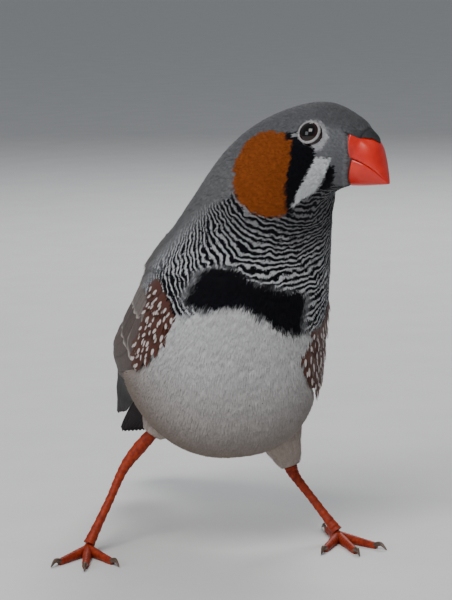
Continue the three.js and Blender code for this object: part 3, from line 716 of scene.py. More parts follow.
# How many places the bill's horn runs back over the face, at degrees from the ridge or the back.
HORN_TURN = [0, 40, 60, 80, 95, 110]
HORN_REACH = [0.8, 0.8, 0.62, 0.34, 0.14, 0.0]
# The horn shows below the forehead's wedge of feathers, from this many degrees on.
WEDGE_EDGE = 36

# %% Rules for bare places
def under_wing(place, angle, margin):
    """True where the folded wing covers the body by more than a margin in degrees."""
    turn = np.abs(np.degrees(angle))
    covered = turn < np.interp(place, WING_PLACES, WING_LOW) - margin
    covered &= turn > np.interp(place, WING_PLACES, WING_HIGH) + margin
    return covered & (place > COVERED_FROM) & (place < COVERED_TO)


def seen_eye(side):
    """Middle of the finished eye and the way it looks."""
    centre, outward = eye_centre(side)
    return centre + HEAD_AHEAD * EYE_AHEAD - HEAD_UP * EYE_BELOW, outward


def off_eye(place, angle):
    """Distance in mm from the nearer eye's middle."""
    point = on_body(place, angle)
    return np.minimum(*[np.linalg.norm(point - seen_eye(s)[0], axis=-1) for s in (1, -1)])


def face_reach(angle):
    """How many places the horn of the upper bill runs back over the face at an angle."""
    return np.interp(np.abs(np.degrees(angle)), HORN_TURN, HORN_REACH)


def on_horn(place, angle):
    """True on the horn's part of the face, below the forehead's wedge."""
    turn = np.abs(np.degrees(angle))
    return (place > BILL_BASE - face_reach(angle)) & (turn > WEDGE_EDGE) & (turn < HORN_TURN[-1])


shift = np.linalg.norm(seen_eye(1)[0] - eye_centre(1)[0])
print("finished eye from the solid's eye, mm:", round(float(shift), 2))

# %% [markdown]
# ## The body coat
# Feathers grow larger from the face to the belly. Beside the bill they are under a millimetre long,
# on the throat about two, on the breast three and on the loose belly four to five. They are laid as
# five overlapping coats, so that each stretch has its own spacing, length and looseness.

# %% Body coat
# The front of the body begins this many degrees from the back.
FRONT_EDGE = 88
# Millimetres round an eye's middle that stay free of feathers.
EYE_CLEAR = 2.2


def coat(name, first, last, spacing, sizes, sunk, raised, keep, **lie):
    """Fans over a stretch of the body; sizes is (places, lengths, widths)."""
    place, angle = scattered(on_body, first, last, spacing)
    kept = keep(place, angle)
    place, angle = place[kept], angle[kept]
    length = np.interp(place, sizes[0], sizes[1])
    width = np.interp(place, sizes[0], sizes[2])
    laid = fans(on_body, place, angle, length, width, sunk, raised, **lie)
    return fan_object(name, laid, place, angle)


head_coat = coat("head_coat", 8.4, 12.05, ([8.4, 10, 12], [0.36, 0.3, 0.24]),
                 ([8.4, 9.5, 11, 12], [1.7, 1.35, 1.0, 0.7], [0.95, 0.75, 0.55, 0.42]), 0.5, 0.06,
                 lambda p, a: (off_eye(p, a) > EYE_CLEAR) & ~on_horn(p, a))
throat_coat = coat("throat_coat", 6.3, 8.5, 0.44,
                   ([6.3, 8.5], [2.6, 1.7], [1.3, 0.95]), 0.8, 0.1,
                   lambda p, a: ~under_wing(p, a, 8))


def on_front(angle):
    """True on the breast, the belly and the lower sides."""
    return np.abs(np.degrees(angle)) > FRONT_EDGE


def on_plain_front(place, angle):
    """True on the front where neither a wing nor the spotted flank covers it."""
    return on_front(angle) & ~under_wing(place, angle, 4) & (flank_edge(place, angle) < 0)


breast_coat = coat("breast_coat", 4.6, 6.4, 0.48,
                   ([4.6, 6.4], [3.6, 2.6], [1.5, 1.3]), 0.9, 0.15, on_plain_front)
belly_coat = coat("belly_coat", 1.9, 4.7, 0.5,
                  ([1.9, 3.5, 4.7], [4.6, 5.0, 4.2], [1.7, 2.0, 1.8]), 0.9, 0.12, on_plain_front,
                  ragged=0.13, turn=0.12, camber=0.1)
back_coat = coat("back_coat", 2.2, 6.5, 0.55,
                 ([2.2, 6.5], [3.4, 2.8], [1.7, 1.5]), 0.8, 0.1,
                 lambda p, a: ~on_front(a) & ~under_wing(p, a, 4))

# %% [markdown]
# ## Flank feathers
# The male's flank feathers are chestnut with a white spot on each side of the shaft. They are larger
# than their neighbours and there are few of them, so that the spots show one by one. A feather is
# kept only where its spots, some way behind its root, still lie on the chestnut.

# %% Flank coat
FLANK_LENGTH, FLANK_WIDTH, FLANK_SPACING = 4.2, 2.9, 1.25
SPOTS_BEHIND_ROOT = 3.2
place, angle = scattered(on_body, 2.5, 5.7, FLANK_SPACING)
spot_place = place - SPOTS_BEHIND_ROOT / surface_scale(on_body, place, angle)[0]
kept = (flank_edge(spot_place, angle) > 1) & ~under_wing(place, angle, 6) & on_front(angle)
place, angle = place[kept], angle[kept]
length, width = 0 * place + FLANK_LENGTH, 0 * place + FLANK_WIDTH
laid = fans(on_body, place, angle, length, width, 0.7, 0.45, ragged=0.05, turn=0.15)
flank_coat = fan_object("flank_coat", laid, place, angle, np.tile(CHESTNUT_DARK, (len(place), 1)))

# %% [markdown]
# ## Shoulder feathers
# At the shoulder the feathers of the back lie over the front of the folded wing and hide where it
# begins. They need a surface of their own, which rises from the body onto the wing, because fans on
# the body alone would sink under the wing and leave its front edge bare.

# %% Shoulder feathers
SHOULDER_RISE, SHOULDER_LENGTH, SHOULDER_WIDTH = 0.5, 3.0, 1.6
SHOULDER_PLACES = [5.65, 6.0, 6.5]
SHOULDER_REACH = [62, 84, 100]


def over_wing(place, angle, lift=0.0):
    """The surface of the back with the front of the wings upon it."""
    turn = np.abs(np.degrees(angle))
    share = step(turn, 14, 30) * step(turn, 104, 80) * step(place, 6.3, 5.7)
    return on_body(place, angle, lift + SHOULDER_RISE * share)


place, angle = scattered(over_wing, SHOULDER_PLACES[0], SHOULDER_PLACES[-1], 0.5)
kept = np.abs(np.degrees(angle)) < np.interp(place, SHOULDER_PLACES, SHOULDER_REACH)
kept &= flank_edge(place - 0.3, angle) < 0
place, angle = place[kept], angle[kept]
laid = fans(over_wing, place, angle, 0 * place + SHOULDER_LENGTH, 0 * place + SHOULDER_WIDTH, 0.9, 0.06)
shoulder_coat = fan_object("shoulder_coat", laid, place, angle)

# %% [markdown]
# ## Thigh feathers
# The feathered thigh ends in a cuff at the bare shank. Its feathers point down the leg and get
# shorter toward the cuff. They lie on the thigh's own tube, as the body's surface doesn't reach it.

# %% Thigh feathers
THIGH_PALE = (0.44, 0.37, 0.33)
# Painted shade: share of that colour at the hip, half way down and at the cuff, darkest at the hip under the
# body.
THIGH_PAINTED_SHADE = [0.62, 1.0, 0.85]
thigh_coats = []
for side, title in ((1, "left"), (-1, "right")):
    surface = thigh_at(side)
    share, angle = scattered(surface, 0.05, 0.9, 0.5)
    length, width = np.interp(share, [0, 1], [4.4, 2.0]), np.interp(share, [0, 1], [1.6, 0.9])
    laid = fans(surface, share, angle, length, width, 0.6, 0.25, flow=1, ragged=0.15, turn=0.18,
                limits=(0.0, 0.98))
    tint = np.array(THIGH_PALE) * np.interp(share, [0, 0.5, 1], THIGH_PAINTED_SHADE)[:, None]
    thigh_coats.append(fan_object(f"thigh_coat_{title}", laid, BILL_BASE * share, angle, tint))

# %% [markdown]
# ## Long feathers as thin curved vanes
# Wing and tail feathers keep a firm outline, so each is its own thin vane: narrower at the root,
# rounded at the tip, a little arched across its shaft, closed with an underside. A flat card would
# be lighter but would vanish from the side. All of one wing or of the tail are joined into one mesh.

# %% Vanes
VANE_ROWS, VANE_COLUMNS = 14, 7
VANE_THICK = 0.22


def vane_width(back):
    """Share of a feather's full width, from its root (0) to its tip (1)."""
    return (0.7 + 0.3 * np.sin(math.pi * np.minimum(back, 0.8))) * np.sqrt(1.02 - back ** 7)


def vane(surface_at):
    """Points and map of one closed vane. surface_at(back, across, sink) gives its surface."""
    back = np.linspace(0, 1, VANE_ROWS)[:, None]
    across = np.linspace(-1, 1, VANE_COLUMNS)[None, :]
    outer = surface_at(back, across, 0 * across)
    inner = surface_at(back, across, 0 * across + VANE_THICK)[:, ::-1]
    points = np.concatenate([outer, inner], axis=1)
    both = np.concatenate([across, across[:, ::-1]], axis=1) / 2 + 0.5
    uvs = np.stack(np.broadcast_arrays(both, back), -1)
    return points.reshape(-1, 3), uvs.reshape(-1, 2)

# %% Collecting vanes
class VaneSet:
    """Collects vanes with their colours until they are joined into one mesh."""

    def __init__(self):
        self.points, self.uvs, self.colours, self.marks, self.bake = [], [], [], [], []

    def add(self, surface_at, colour, seat, mark=0.0):
        """One more vane, by chance a little lighter or darker. No finish reads its third mark."""
        points, uvs = vane(surface_at)
        tone = rng.uniform(0.9, 1.1)
        self.points.append(points)
        self.uvs.append(uvs)
        self.colours.append(np.tile([*(np.array(colour) * tone), 1.0], (len(points), 1)))
        self.marks.append(np.column_stack([uvs[:, 0] * 0, uvs[:, 0] * 0 + mark,
                                           uvs[:, 0] * 0 + rng.uniform(), uvs[:, 1]]))
        self.bake.append(np.array(seat) + (uvs - 0.5) * BAKE_PATCH * 4)

    def build(self, name):
        """All vanes so far as one object."""
        wide = VANE_COLUMNS * 2
        faces = grid_faces(VANE_ROWS, wide, wrap=True)
        count = len(self.points)
        faces = (faces[None] + VANE_ROWS * wide * np.arange(count)[:, None, None]).reshape(-1, 4)
        thing = make_object(name, np.concatenate(self.points), faces, uvs=np.concatenate(self.uvs),
                            bake=np.concatenate(self.bake), colours=np.concatenate(self.colours),
                            marks=np.concatenate(self.marks))
        print(f"{name}: {count} vanes, {len(faces) * 2} triangles")
        return thing


print("faces of one vane:", len(grid_faces(VANE_ROWS, VANE_COLUMNS * 2, wrap=True)))

# %% [markdown]
# ## The folded wings
# From the inside out: primaries, secondaries, tertials, greater, median and lesser coverts and the
# scapulars over the shoulder. Each tier is a row of vanes between two corner feathers. The coverts
# show pale edges that draw scallops on the grey-brown wing. One bent sheet with feathers drawn on it
# would be quicker, but the steps from tier to tier would be missing.

# %% Wings
WING_BROWN = (0.090, 0.070, 0.063)
COVERT_GREY = (0.150, 0.128, 0.118)
PRIMARY_DARK = (0.007, 0.005, 0.007)
# Each tier: count, then for the lowest and the highest feather the place and angle of root and tip,
# the width, the rise of root and tip above the wing's face, the colour and how pale the edge is.
WING_TIERS = [
    (10, [(3.9, 105), (3.6, 74)], [(0.7, 117), (0.5, 78)], 4.4, (-0.3, -0.1), PRIMARY_DARK, 0.06),
    (8, [(4.3, 100), (4.1, 50)], [(2.75, 98), (2.0, 50)], 4.4, (-0.3, 0.0), WING_BROWN, 0.7),
    (3, [(4.2, 46), (4.0, 26)], [(2.1, 36), (2.7, 18)], 5.0, (0.1, 0.4), COVERT_GREY, 0.8),
    (9, [(5.2, 101), (4.9, 42)], [(4.05, 104), (3.65, 44)], 4.2, (-0.2, 0.1), WING_BROWN, 1.0),
    (10, [(5.6, 99), (5.3, 42)], [(4.75, 105), (4.35, 40)], 3.6, (-0.1, 0.25), COVERT_GREY, 0.9),
    (10, [(5.9, 95), (5.7, 46)], [(5.3, 104), (4.95, 42)], 3.0, (-0.05, 0.35), COVERT_GREY, 0.7),
    (6, [(5.6, 54), (5.1, 24)], [(4.0, 36), (3.3, 18)], 4.6, (0.0, 0.35), COVERT_GREY, 0.7),
    (7, [(6.0, 58), (5.7, 24)], [(5.1, 44), (4.4, 18)], 4.0, (-0.05, 0.3), COVERT_GREY, 0.5),
]
# The dark base: rings and columns, the place where it begins and how many places it runs.
BED_ROWS, BED_COLUMNS, BED_FROM, BED_RUN = 24, 16, 2.7, 3.2

# %% Surface of a wing feather and the base below
def wing_surface(side, root, tip, width, rise):
    """The surface of one wing feather, which lies on the wing's outer face from its root to its tip."""
    def surface_at(back, across, sink):
        place = root[0] + (tip[0] - root[0]) * back
        ring = spine(place)
        flush = np.maximum(np.interp(place, WING_PLACES, WING_LIFT), 0)
        radius = (ring[..., 5] + ring[..., 6]) / 2 + 1 + flush
        swing = np.degrees(width / 2 * vane_width(back) / radius)
        turn = root[1] + (tip[1] - root[1]) * back + across * swing
        arch = 0.3 * (1 - across ** 2) * vane_width(back)
        lift = rise[0] + (rise[1] - rise[0]) * back + arch - sink - 0.1 * across
        return on_wing(side, place + 0 * turn, turn, lift)
    return surface_at


def wing_bed(side):
    """The dark base under the vanes, so that no skin shows between them."""
    t = np.linspace(0, 1, BED_ROWS)[:, None]
    v = np.linspace(0, 1, BED_COLUMNS)[None, :]
    place = BED_FROM + BED_RUN * t + 0 * v
    low_edge = np.interp(place, WING_PLACES, WING_LOW)
    high_edge = np.interp(place, WING_PLACES, WING_HIGH)
    turn = low_edge + (high_edge - low_edge) * v
    crown = np.sin(math.pi * v) ** 0.7
    top = on_wing(side, place, turn, -0.6 - 0.6 * (1 - crown) + 0 * t)
    under = on_body(place, side * np.radians(turn), -2.8)[:, ::-1]
    rings = np.concatenate([top, under], axis=1)
    return rings.reshape(-1, 3), grid_faces(BED_ROWS, 2 * BED_COLUMNS, wrap=True)

# %% Both wings
wings, wing_beds = [], []
for side, title in ((1, "left"), (-1, "right")):
    vanes = VaneSet()
    for count, roots, tips, width, lift, colour, edge in WING_TIERS:
        for number in range(count):
            share = number / (count - 1)
            root = np.array(roots[0]) * (1 - share) + np.array(roots[1]) * share
            tip = np.array(tips[0]) * (1 - share) + np.array(tips[1]) * share
            tip = tip + rng.normal(0, 0.02, 2) * (1, 20)
            rise = 0.1 * (number % 2)
            seat = (root[0] / BILL_BASE, 0.5 + side * math.radians(root[1]) / 2 / math.pi)
            surface_at = wing_surface(side, root, tip, width, (lift[0] + rise, lift[1] + rise))
            vanes.add(surface_at, colour, seat, edge)
    wings.append(vanes.build(f"wing_feathers_{title}"))
    wing_beds.append(make_object(f"wing_bed_{title}", *wing_bed(side)))

# %% [markdown]
# ## The tail
# Twelve blunt black-brown feathers lie stacked with the middle pair on top. Each is a vane of its own,
# as one flat block would show no steps at its end. They spread only a little, because a bird at rest
# keeps its tail closed.

# %% Tail
TAIL_BROWN = (0.017, 0.012, 0.013)
COVERT_BLACK = (0.016, 0.014, 0.016)
COVERT_CREAM = (0.62, 0.56, 0.49)
# Sideways step from one tail feather to the next at the tip, and how far each lies below the last.
TAIL_STEP, TAIL_DROP = 0.8, 0.16
# Layers of upper coverts from the lowest: how many, the place of their tips and the lift.
COVERT_LAYERS = [(7, 0.75, 0.1), (9, 1.15, 0.3), (9, 1.6, 0.5), (9, 2.0, 0.6)]
COVERT_SPREAD, COVERT_LENGTH, COVERT_WIDTH = 110, 0.9, 2.6
TAIL_WIDTH, UNDER_LENGTH, UNDER_WIDTH = 3.6, 4.0, 1.3


def on_tail(place, across, rise):
    """Points beside and above the middle line of the tail."""
    ring = spine(place)
    _, dorsal, left = ring_axes(ring[..., 3], ring[..., 4])
    return ring[..., :3] + left * across[..., None] + dorsal * rise[..., None]


def tail_surface(across_root, across_tip, rise, root, tip, width):
    """The surface of one tail feather, flat along the tail."""
    def surface_at(back, across, sink):
        place = root + (tip - root) * back + 0 * across
        middle = across_root + (across_tip - across_root) * back
        edge = across * width / 2 * vane_width(back)
        return on_tail(place, middle + edge, rise + 0.25 * (1 - across ** 2) - sink + 0 * place)
    return surface_at


tail_vanes = VaneSet()
for pair in range(6):
    for side in (1, -1):
        out = side * (pair + 0.5) * TAIL_STEP
        rise = 0.35 - TAIL_DROP * (pair + (0.5 if side < 0 else 0))
        surface_at = tail_surface(out * 0.4, out, rise, 1.6, 0.03 + 0.03 * pair, TAIL_WIDTH)
        tail_vanes.add(surface_at, TAIL_BROWN, (0.05, 0.5 + 0.01 * out))
tail_feathers = tail_vanes.build("tail_feathers")

# %% [markdown]
# ## Upper tail coverts
# Over the roots of the tail lie the long upper coverts, black with broad white bars. They keep their
# outline like the tail feathers, so they are vanes too, but laid on the body's own surface in four
# layers, each starting further forward than the last. A single layer would leave gaps at its roots.

# %% Upper tail coverts
def covert_surface(turn, root, tip, width, rise):
    """The surface of one upper covert, at degrees round the body from the back."""
    def surface_at(back, across, sink):
        place = root + (tip - root) * back + 0 * across
        swing = across * width / 2 * vane_width(back) / (spine(place)[..., 5] + 1)
        angle = np.radians(turn) + swing
        return on_body(place, angle, rise + 0.25 * (1 - across ** 2) + 0.15 * back - sink)
    return surface_at


cover_vanes = VaneSet()
for count, tip, lift in COVERT_LAYERS:
    for number in range(count):
        turn = (number - (count - 1) / 2) * COVERT_SPREAD / count
        rise = lift + 0.08 * (number % 2)
        surface_at = covert_surface(turn, tip + COVERT_LENGTH, tip + abs(turn) / 400, COVERT_WIDTH, rise)
        cover_vanes.add(surface_at, COVERT_BLACK, (0.15, 0.5 + turn / 720), mark=1.0)
tail_coverts = cover_vanes.build("tail_coverts")

# %% [markdown]
# ## Under tail coverts
# Below the tail the coverts are soft and cream, more like the feathers of the belly than those of the
# tail. So they are fans, laid under the root of the tail, over a dark base that closes any gap. Vanes
# would be too stiff here.

# %% Under tail coverts
def on_root(place, angle, lift=0.0):
    """The root of the tail, kept clear of the loft's very tip."""
    return on_body(np.maximum(place, 0.1), angle, lift)


place, angle = scattered(on_root, 1.0, 2.4, 0.6)
kept = on_front(angle)
place, angle = place[kept], angle[kept]
laid = fans(on_root, place, angle, 0 * place + UNDER_LENGTH, 0 * place + UNDER_WIDTH, 0.7, 0.3,
            ragged=0.15, turn=0.15)
under_coverts = fan_object("under_tail_coverts", laid, place, angle, np.tile(COVERT_CREAM, (len(place), 1)))
tail_bed = make_object("tail_bed", *tube(on_root, 30, 48, 0.85, 2.2))

# %% [markdown]
# ## Bill
# The bill is a short thick cone in two halves. Every ring of it runs from the keel to the ridge and
# is cut at the mouth line, with a narrow slit between. Nearly the same few numbers as in the solid
# give its profile, here with many more rings. The upper half also runs back over the face, as real
# horn does, and dips under the feathers of the forehead. A plain cone would end in a hard ring.

# %% Bill
# Ridge and keel from base to tip: mm ahead of and above the middle of the bill's base.
BILL_RIDGE = [(1.5, 4.3), (3.0, 2.7), (3.8, 0.4), (4.3, -2.0), (4.7, -3.9)]
BILL_KEEL = [(-1.5, -4.6), (0.5, -4.55), (2.5, -4.4), (3.9, -4.3), (4.65, -4.2)]
BILL_HALF = [(3.3,), (2.9,), (2.1,), (1.2,), (0.35,)]
MOUTH_SHARE = 0.5
MOUTH_ANGLE = math.acos(2 * MOUTH_SHARE - 1)
MOUTH_SLIT = math.radians(1.2)
# Share of the bill's length which the forehead's wedge of feathers reaches.
WEDGE_TIP = 0.32
JAW_RINGS, FACE_RINGS, JAW_COLUMNS, MOUTH_COLUMNS = 28, 12, 40, 8
SMOOTHED_RINGS, SMOOTH_ROUNDS = (4, 22), 8


def on_bill(t, angle):
    """Points of the bill: t from its base to its tip, angle from the ridge round to the keel."""
    ring = spine(BILL_BASE)
    forward, up, left = ring_axes(np.array(0.0), ring[4])
    ridge, keel = curve_through(BILL_RIDGE, t), curve_through(BILL_KEEL, t)
    height = (1 + np.cos(angle)) / 2
    reach = keel[..., 0] + (ridge[..., 0] - keel[..., 0]) * height
    rise = keel[..., 1] + (ridge[..., 1] - keel[..., 1]) * height
    width = np.sin(angle) * curve_through(BILL_HALF, t)[..., 0]
    step_out = ring_axes(ring[3], ring[4])[0] * 0.1
    return ring[:3] + step_out + forward * reach[..., None] + up * rise[..., None] + left * width[..., None]

# %% Horn over the face
def horn(t, angle, lift=0.0):
    """The bill's surface, which for t below 0 runs back over the face by so many places."""
    t, angle, lift = np.broadcast_arrays(np.asarray(t, float), angle, lift)
    base = spine(BILL_BASE)
    _, dorsal, left = ring_axes(base[3], base[4])
    seat = on_bill(0 * angle, angle) - base[:3]
    depth = np.where(seat @ dorsal > 0, base[6], base[7])
    turn = np.arctan2(seat @ left / base[5], seat @ dorsal / depth)
    raised = np.interp(np.abs(np.degrees(turn)), [22, 45], [-0.3, 0.14])
    face = on_body(BILL_BASE + np.minimum(t, 0), turn, raised)
    share = step(t, -0.35, 0.0)[..., None]
    point = face * (1 - share) + on_bill(np.maximum(t, 0), angle) * share
    ridge, keel = on_bill(np.maximum(t, 0), 0 * angle), on_bill(np.maximum(t, 0), 0 * angle + math.pi)
    face_axis = spine(BILL_BASE + np.minimum(t, 0))[..., :3]
    outward = point - np.where((t < 0)[..., None], face_axis, (ridge + keel) / 2)
    reach = np.maximum(np.linalg.norm(outward, axis=-1, keepdims=True), 0.2)
    return point + outward / reach * lift[..., None]

# %% The two halves of the bill
def jaw(first, last, runs_back=False):
    """One half of the bill: its outside from one mouth edge to the other, closed by the mouth face."""
    t = np.linspace(0, 1, JAW_RINGS)[:, None]
    around = np.linspace(first, last, JAW_COLUMNS)[None, :]
    outside = on_bill(t + 0 * around, around + 0 * t)
    if runs_back:
        back = np.linspace(-1, -0.08, FACE_RINGS)[:, None]
        t = np.concatenate([back * face_reach(around), t + 0 * around])
        edge = np.concatenate([np.interp(back, [-1, -0.86], [-0.7, 0.0]), 0 * outside[:, :1, 0]])
        feathered = step(np.abs(np.degrees(around)), 50, WEDGE_EDGE) * step(t, WEDGE_TIP, WEDGE_TIP - 0.2)
        outside = horn(t, around + 0 * t, edge - 0.35 * feathered)
        low, high = SMOOTHED_RINGS
        for _ in range(SMOOTH_ROUNDS):
            beside = outside[low - 1:high - 1] + outside[low + 1:high + 1]
            outside[low:high] = (beside + 2 * outside[low:high]) / 4
    share = np.linspace(0, 1, MOUTH_COLUMNS)[None, 1:-1, None]
    closing = outside[:, -1:] * (1 - share) + outside[:, :1] * share
    rings = np.concatenate([outside, closing], axis=1)
    columns = rings.shape[1]
    tip = np.repeat(rings[-1].mean(0)[None, None], columns, 1)
    root = np.repeat(rings[0].mean(0)[None, None], columns, 1)
    rings = np.concatenate([root, rings, tip])
    return rings.reshape(-1, 3), grid_faces(len(rings), columns, wrap=True)


bill_upper = make_object("upper_bill", *jaw(-MOUTH_ANGLE + MOUTH_SLIT, MOUTH_ANGLE - MOUTH_SLIT, True))
bill_lower = make_object("lower_bill", *jaw(MOUTH_ANGLE + MOUTH_SLIT, 2 * math.pi - MOUTH_ANGLE - MOUTH_SLIT))
print("ridge of the bill, straight from base to tip, mm:",
      round(float(np.linalg.norm(on_bill(1.0, np.array(0.0)) - on_bill(0.0, np.array(0.0)))), 1))

# %% [markdown]
# ## Forehead feathers over the bill
# A wedge of very small feathers runs forward from the forehead along the ridge of the bill, ever
# narrower to its tip. Its fans lie on the horn's own surface, which joins face and bill, because the
# body's surface ends at the base of the bill.

# %% Forehead feathers over the bill
FOREHEAD_FEATHERS = 1500
# Half width of the wedge in degrees, from the forehead to its tip.
WEDGE_PLACES = [-0.8, 0.0, 0.12, WEDGE_TIP]
WEDGE_TURN = [48, 47, 34, 5]
t = rng.uniform(WEDGE_PLACES[0], WEDGE_TIP, FOREHEAD_FEATHERS)
angle = rng.uniform(-1, 1, FOREHEAD_FEATHERS) * np.radians(np.interp(t, WEDGE_PLACES, WEDGE_TURN))
laid = fans(horn, t, angle, 0 * t + 0.8, 0 * t + 0.45, 0.1, 0.08, limits=(-1.5, WEDGE_TIP + 0.02))
dark = np.interp(t, [-0.6, 0.2], [1.0, 0.45])[:, None]
forehead_coat = fan_object("forehead_coat", laid, t + BILL_BASE - 1, angle, np.array(GREY_HEAD) * dark)

# %% [markdown]
# ## Eyes
# The eye is a dark red-brown ball with a black pupil under a clear wet surface, set into the head,
# and rimmed by a thin bare ring of pale skin. The ring is a lid: it overlaps the ball's edge and
# leaves the round opening that gives the bird its gaze. A painted ring would catch no light.

# %% Eyes and their rims
EYE_RADIUS, RIM_RADIUS, RIM_THICK, RIM_RISE = 2.0, 1.68, 0.25, 1.08
EYE_ROWS, EYE_COLUMNS, RIM_SIDES = 48, 64, 16
eyes, rims = [], []
for side, title in ((1, "left"), (-1, "right")):
    centre, outward = seen_eye(side)
    turn = np.array(Vector((0, 0, 1)).rotation_difference(Vector(outward)).to_matrix())
    polar = np.linspace(0, math.pi, EYE_ROWS)[:, None]
    around = np.arange(EYE_COLUMNS)[None, :] * 2 * math.pi / EYE_COLUMNS
    ball = np.stack(np.broadcast_arrays(np.sin(polar) * np.cos(around), np.sin(polar) * np.sin(around),
                                        np.cos(polar)), -1) * EYE_RADIUS
    off_axis = np.repeat(polar, EYE_COLUMNS, 1).ravel()
    marks = np.column_stack([off_axis, off_axis * 0, off_axis * 0, off_axis * 0])
    eyes.append(make_object(f"eyeball_{title}", ball.reshape(-1, 3) @ turn.T + centre,
                            grid_faces(EYE_ROWS, EYE_COLUMNS, wrap=True), marks=marks))
    tube_turn = np.arange(RIM_SIDES)[:, None] * 2 * math.pi / RIM_SIDES
    radius = RIM_RADIUS + RIM_THICK * np.cos(tube_turn)
    ring = np.stack(np.broadcast_arrays(radius * np.cos(around), radius * np.sin(around),
                                        RIM_RISE + RIM_THICK * 0.8 * np.sin(tube_turn)), -1)
    ring = np.concatenate([ring, ring[:1]])
    rims.append(make_object(f"eye_rim_{title}", ring.reshape(-1, 3) @ turn.T + centre,
                            grid_faces(RIM_SIDES + 1, EYE_COLUMNS, wrap=True)))
    print(f"{title} eye looks toward:", np.round(outward, 2))

# %% [markdown]
# ## Legs, feet and claws
# A songbird's bare shank is covered in front by overlapping horny scales. Here the rings along the
# tube swell a little at each scale, on the shanks and on the toes. The toes are flat below, so that
# the bird stands firm, and the claws are thin curved cones. Scales drawn as bumps in the finish alone
# would leave a smooth outline.

# %% Legs
SHANK_RADII = [1.0, 1.1, 0.78, 0.68, 0.72, 0.95]
# Each toe: degrees from the middle one, and its length. The hind toe points straight back.
HIND_TOE = 180
TOES = [(-32, 8.0), (0, 9.6), (30, 8.4), (HIND_TOE, 6.6)]
TOE_WIDTHS = [1.7, 1.35, 1.45, 1.1, 1.15, 0.85]
TOE_HEIGHT, TOE_TIP_HEIGHT = 1.5, 0.9
CLAW_REACH, HIND_CLAW_REACH = 2.6, 3.4
CLAW_RADII = [0.46, 0.36, 0.07]
# Along a shank: this many mm of scales, each so long, and how far they stand out.
SHANK_SCALED, SHANK_SCALE, SCALE_RISE = 17.0, 1.15, 0.09
TOE_SCALE = 0.8


def between(a, b, t):
    """The point at a share of the way from a to b."""
    return tuple(np.array(a) * (1 - t) + np.array(b) * t)


def scaled_ridge(distance, spacing):
    """A saw of overlapping scales: rises along each and drops at its end, from 0 to 1."""
    share = (distance / spacing) % 1.0
    return np.where(share < 0.85, share / 0.85, (1 - share) / 0.15)


def shank(leg):
    """The bare leg, from inside the cuff over the heel to the foot."""
    away = np.array(leg["heel"]) - np.array(leg["hip"])
    start = tuple(np.array(leg["cuff"]) - away / np.linalg.norm(away) * 0.8)
    path = [start, leg["heel"]] + [between(leg["heel"], leg["foot"], share) for share in (0.45, 0.97)]

    def surface(t, angle):
        scales = SCALE_RISE * scaled_ridge(t * SHANK_SCALED, SHANK_SCALE)
        return on_limb(path, SHANK_RADII, t, angle, scales - 0.05)
    return tube(surface, 150, 28)

# %% Toes and claws
def toe(leg, turn, length):
    """One toe on the floor, high in the middle and flat below."""
    turn = math.radians(leg["turn"] + turn)
    ahead = np.array([math.sin(turn), -math.cos(turn), 0])
    across = np.array([math.cos(turn), math.sin(turn), 0])
    start = np.array([leg["foot"][0], leg["foot"][1], 0])

    def surface(t, angle):
        ridge = scaled_ridge(t * length, TOE_SCALE)
        width = np.interp(t, np.linspace(0, 1, 6), TOE_WIDTHS) / 2 + 0.04 * ridge
        height = (TOE_HEIGHT + (TOE_TIP_HEIGHT - TOE_HEIGHT) * t) * (1 + 0.06 * ridge)
        rise = np.maximum(0.5 + 0.62 * np.cos(angle), 0) * height
        middle = start + ahead * (length * t + 0 * angle)[..., None]
        beside = across * (np.sin(angle) * width)[..., None]
        return middle + beside + np.array([0, 0, 1.0]) * (rise + 0 * t)[..., None]
    return tube(surface, 70, 24)


def claw(leg, turn, length):
    """The claw at the end of one toe, arched and pointed."""
    reach = HIND_CLAW_REACH if turn == HIND_TOE else CLAW_REACH
    turn = math.radians(leg["turn"] + turn)
    ahead = np.array([math.sin(turn), -math.cos(turn), 0])
    start = np.array([leg["foot"][0], leg["foot"][1], 0])
    path = [start + ahead * (length - 0.3 + along) + np.array([0, 0, rise])
            for along, rise in ((0, 0.55), (reach * 0.5, 0.95), (reach, 0.18))]
    return tube(lambda t, a: on_limb(path, CLAW_RADII, t, a), 20, 16)

# %% Both legs
shanks, feet, claws = [], [], []
for side, title in ((1, "left"), (-1, "right")):
    leg = LEGS[side]
    shanks.append(make_object(f"scaled_shank_{title}", *shank(leg)))
    toes = joined([toe(leg, turn, length) for turn, length in TOES])
    feet.append(make_object(f"scaled_foot_{title}", *toes))
    claw_shapes = joined([claw(leg, turn, length) for turn, length in TOES])
    claws.append(make_object(f"curved_claws_{title}", *claw_shapes))
    print(f"{title} foot: {len(toes[1])} faces, claws: {len(claw_shapes[1])} faces")

# %% [markdown]
# ## A small node kit
# The finishes are built from shader nodes: boxes that each do one small thing and are joined by links.
# A few short helpers make a material with one main shader and add nodes to it, so that each finish
# below reads as a few lines. The nodes could be set by hand in the editor, but a script repeats them
# exactly and shows every number.

# %% Node helpers
def new_material(name, roughness, **constants):
    """A material, its node tree and its main shader with constants set on its sockets."""
    material = bpy.data.materials.new(name)
    material.use_nodes = True
    tree = material.node_tree
    shader = tree.nodes["Principled BSDF"]
    shader.inputs["Roughness"].default_value = roughness
    for socket, value in constants.items():
        shader.inputs[socket.replace("_", " ")].default_value = value
    return material, tree, shader


def node(tree, kind, inputs=(), **settings):
    """Adds a node; inputs are (socket, value or link) pairs."""
    made = tree.nodes.new(kind)
    for key, value in settings.items():
        setattr(made, key, value)
    for socket, value in inputs:
        if isinstance(value, bpy.types.NodeSocket):
            tree.links.new(value, made.inputs[socket])
        else:
            made.inputs[socket].default_value = value
    return made

# %% Sums, steps and blends
def maths(tree, operation, a, b=0.0):
    """The result of one sum on two values or links."""
    return node(tree, "ShaderNodeMath", ((0, a), (1, b)), operation=operation).outputs[0]


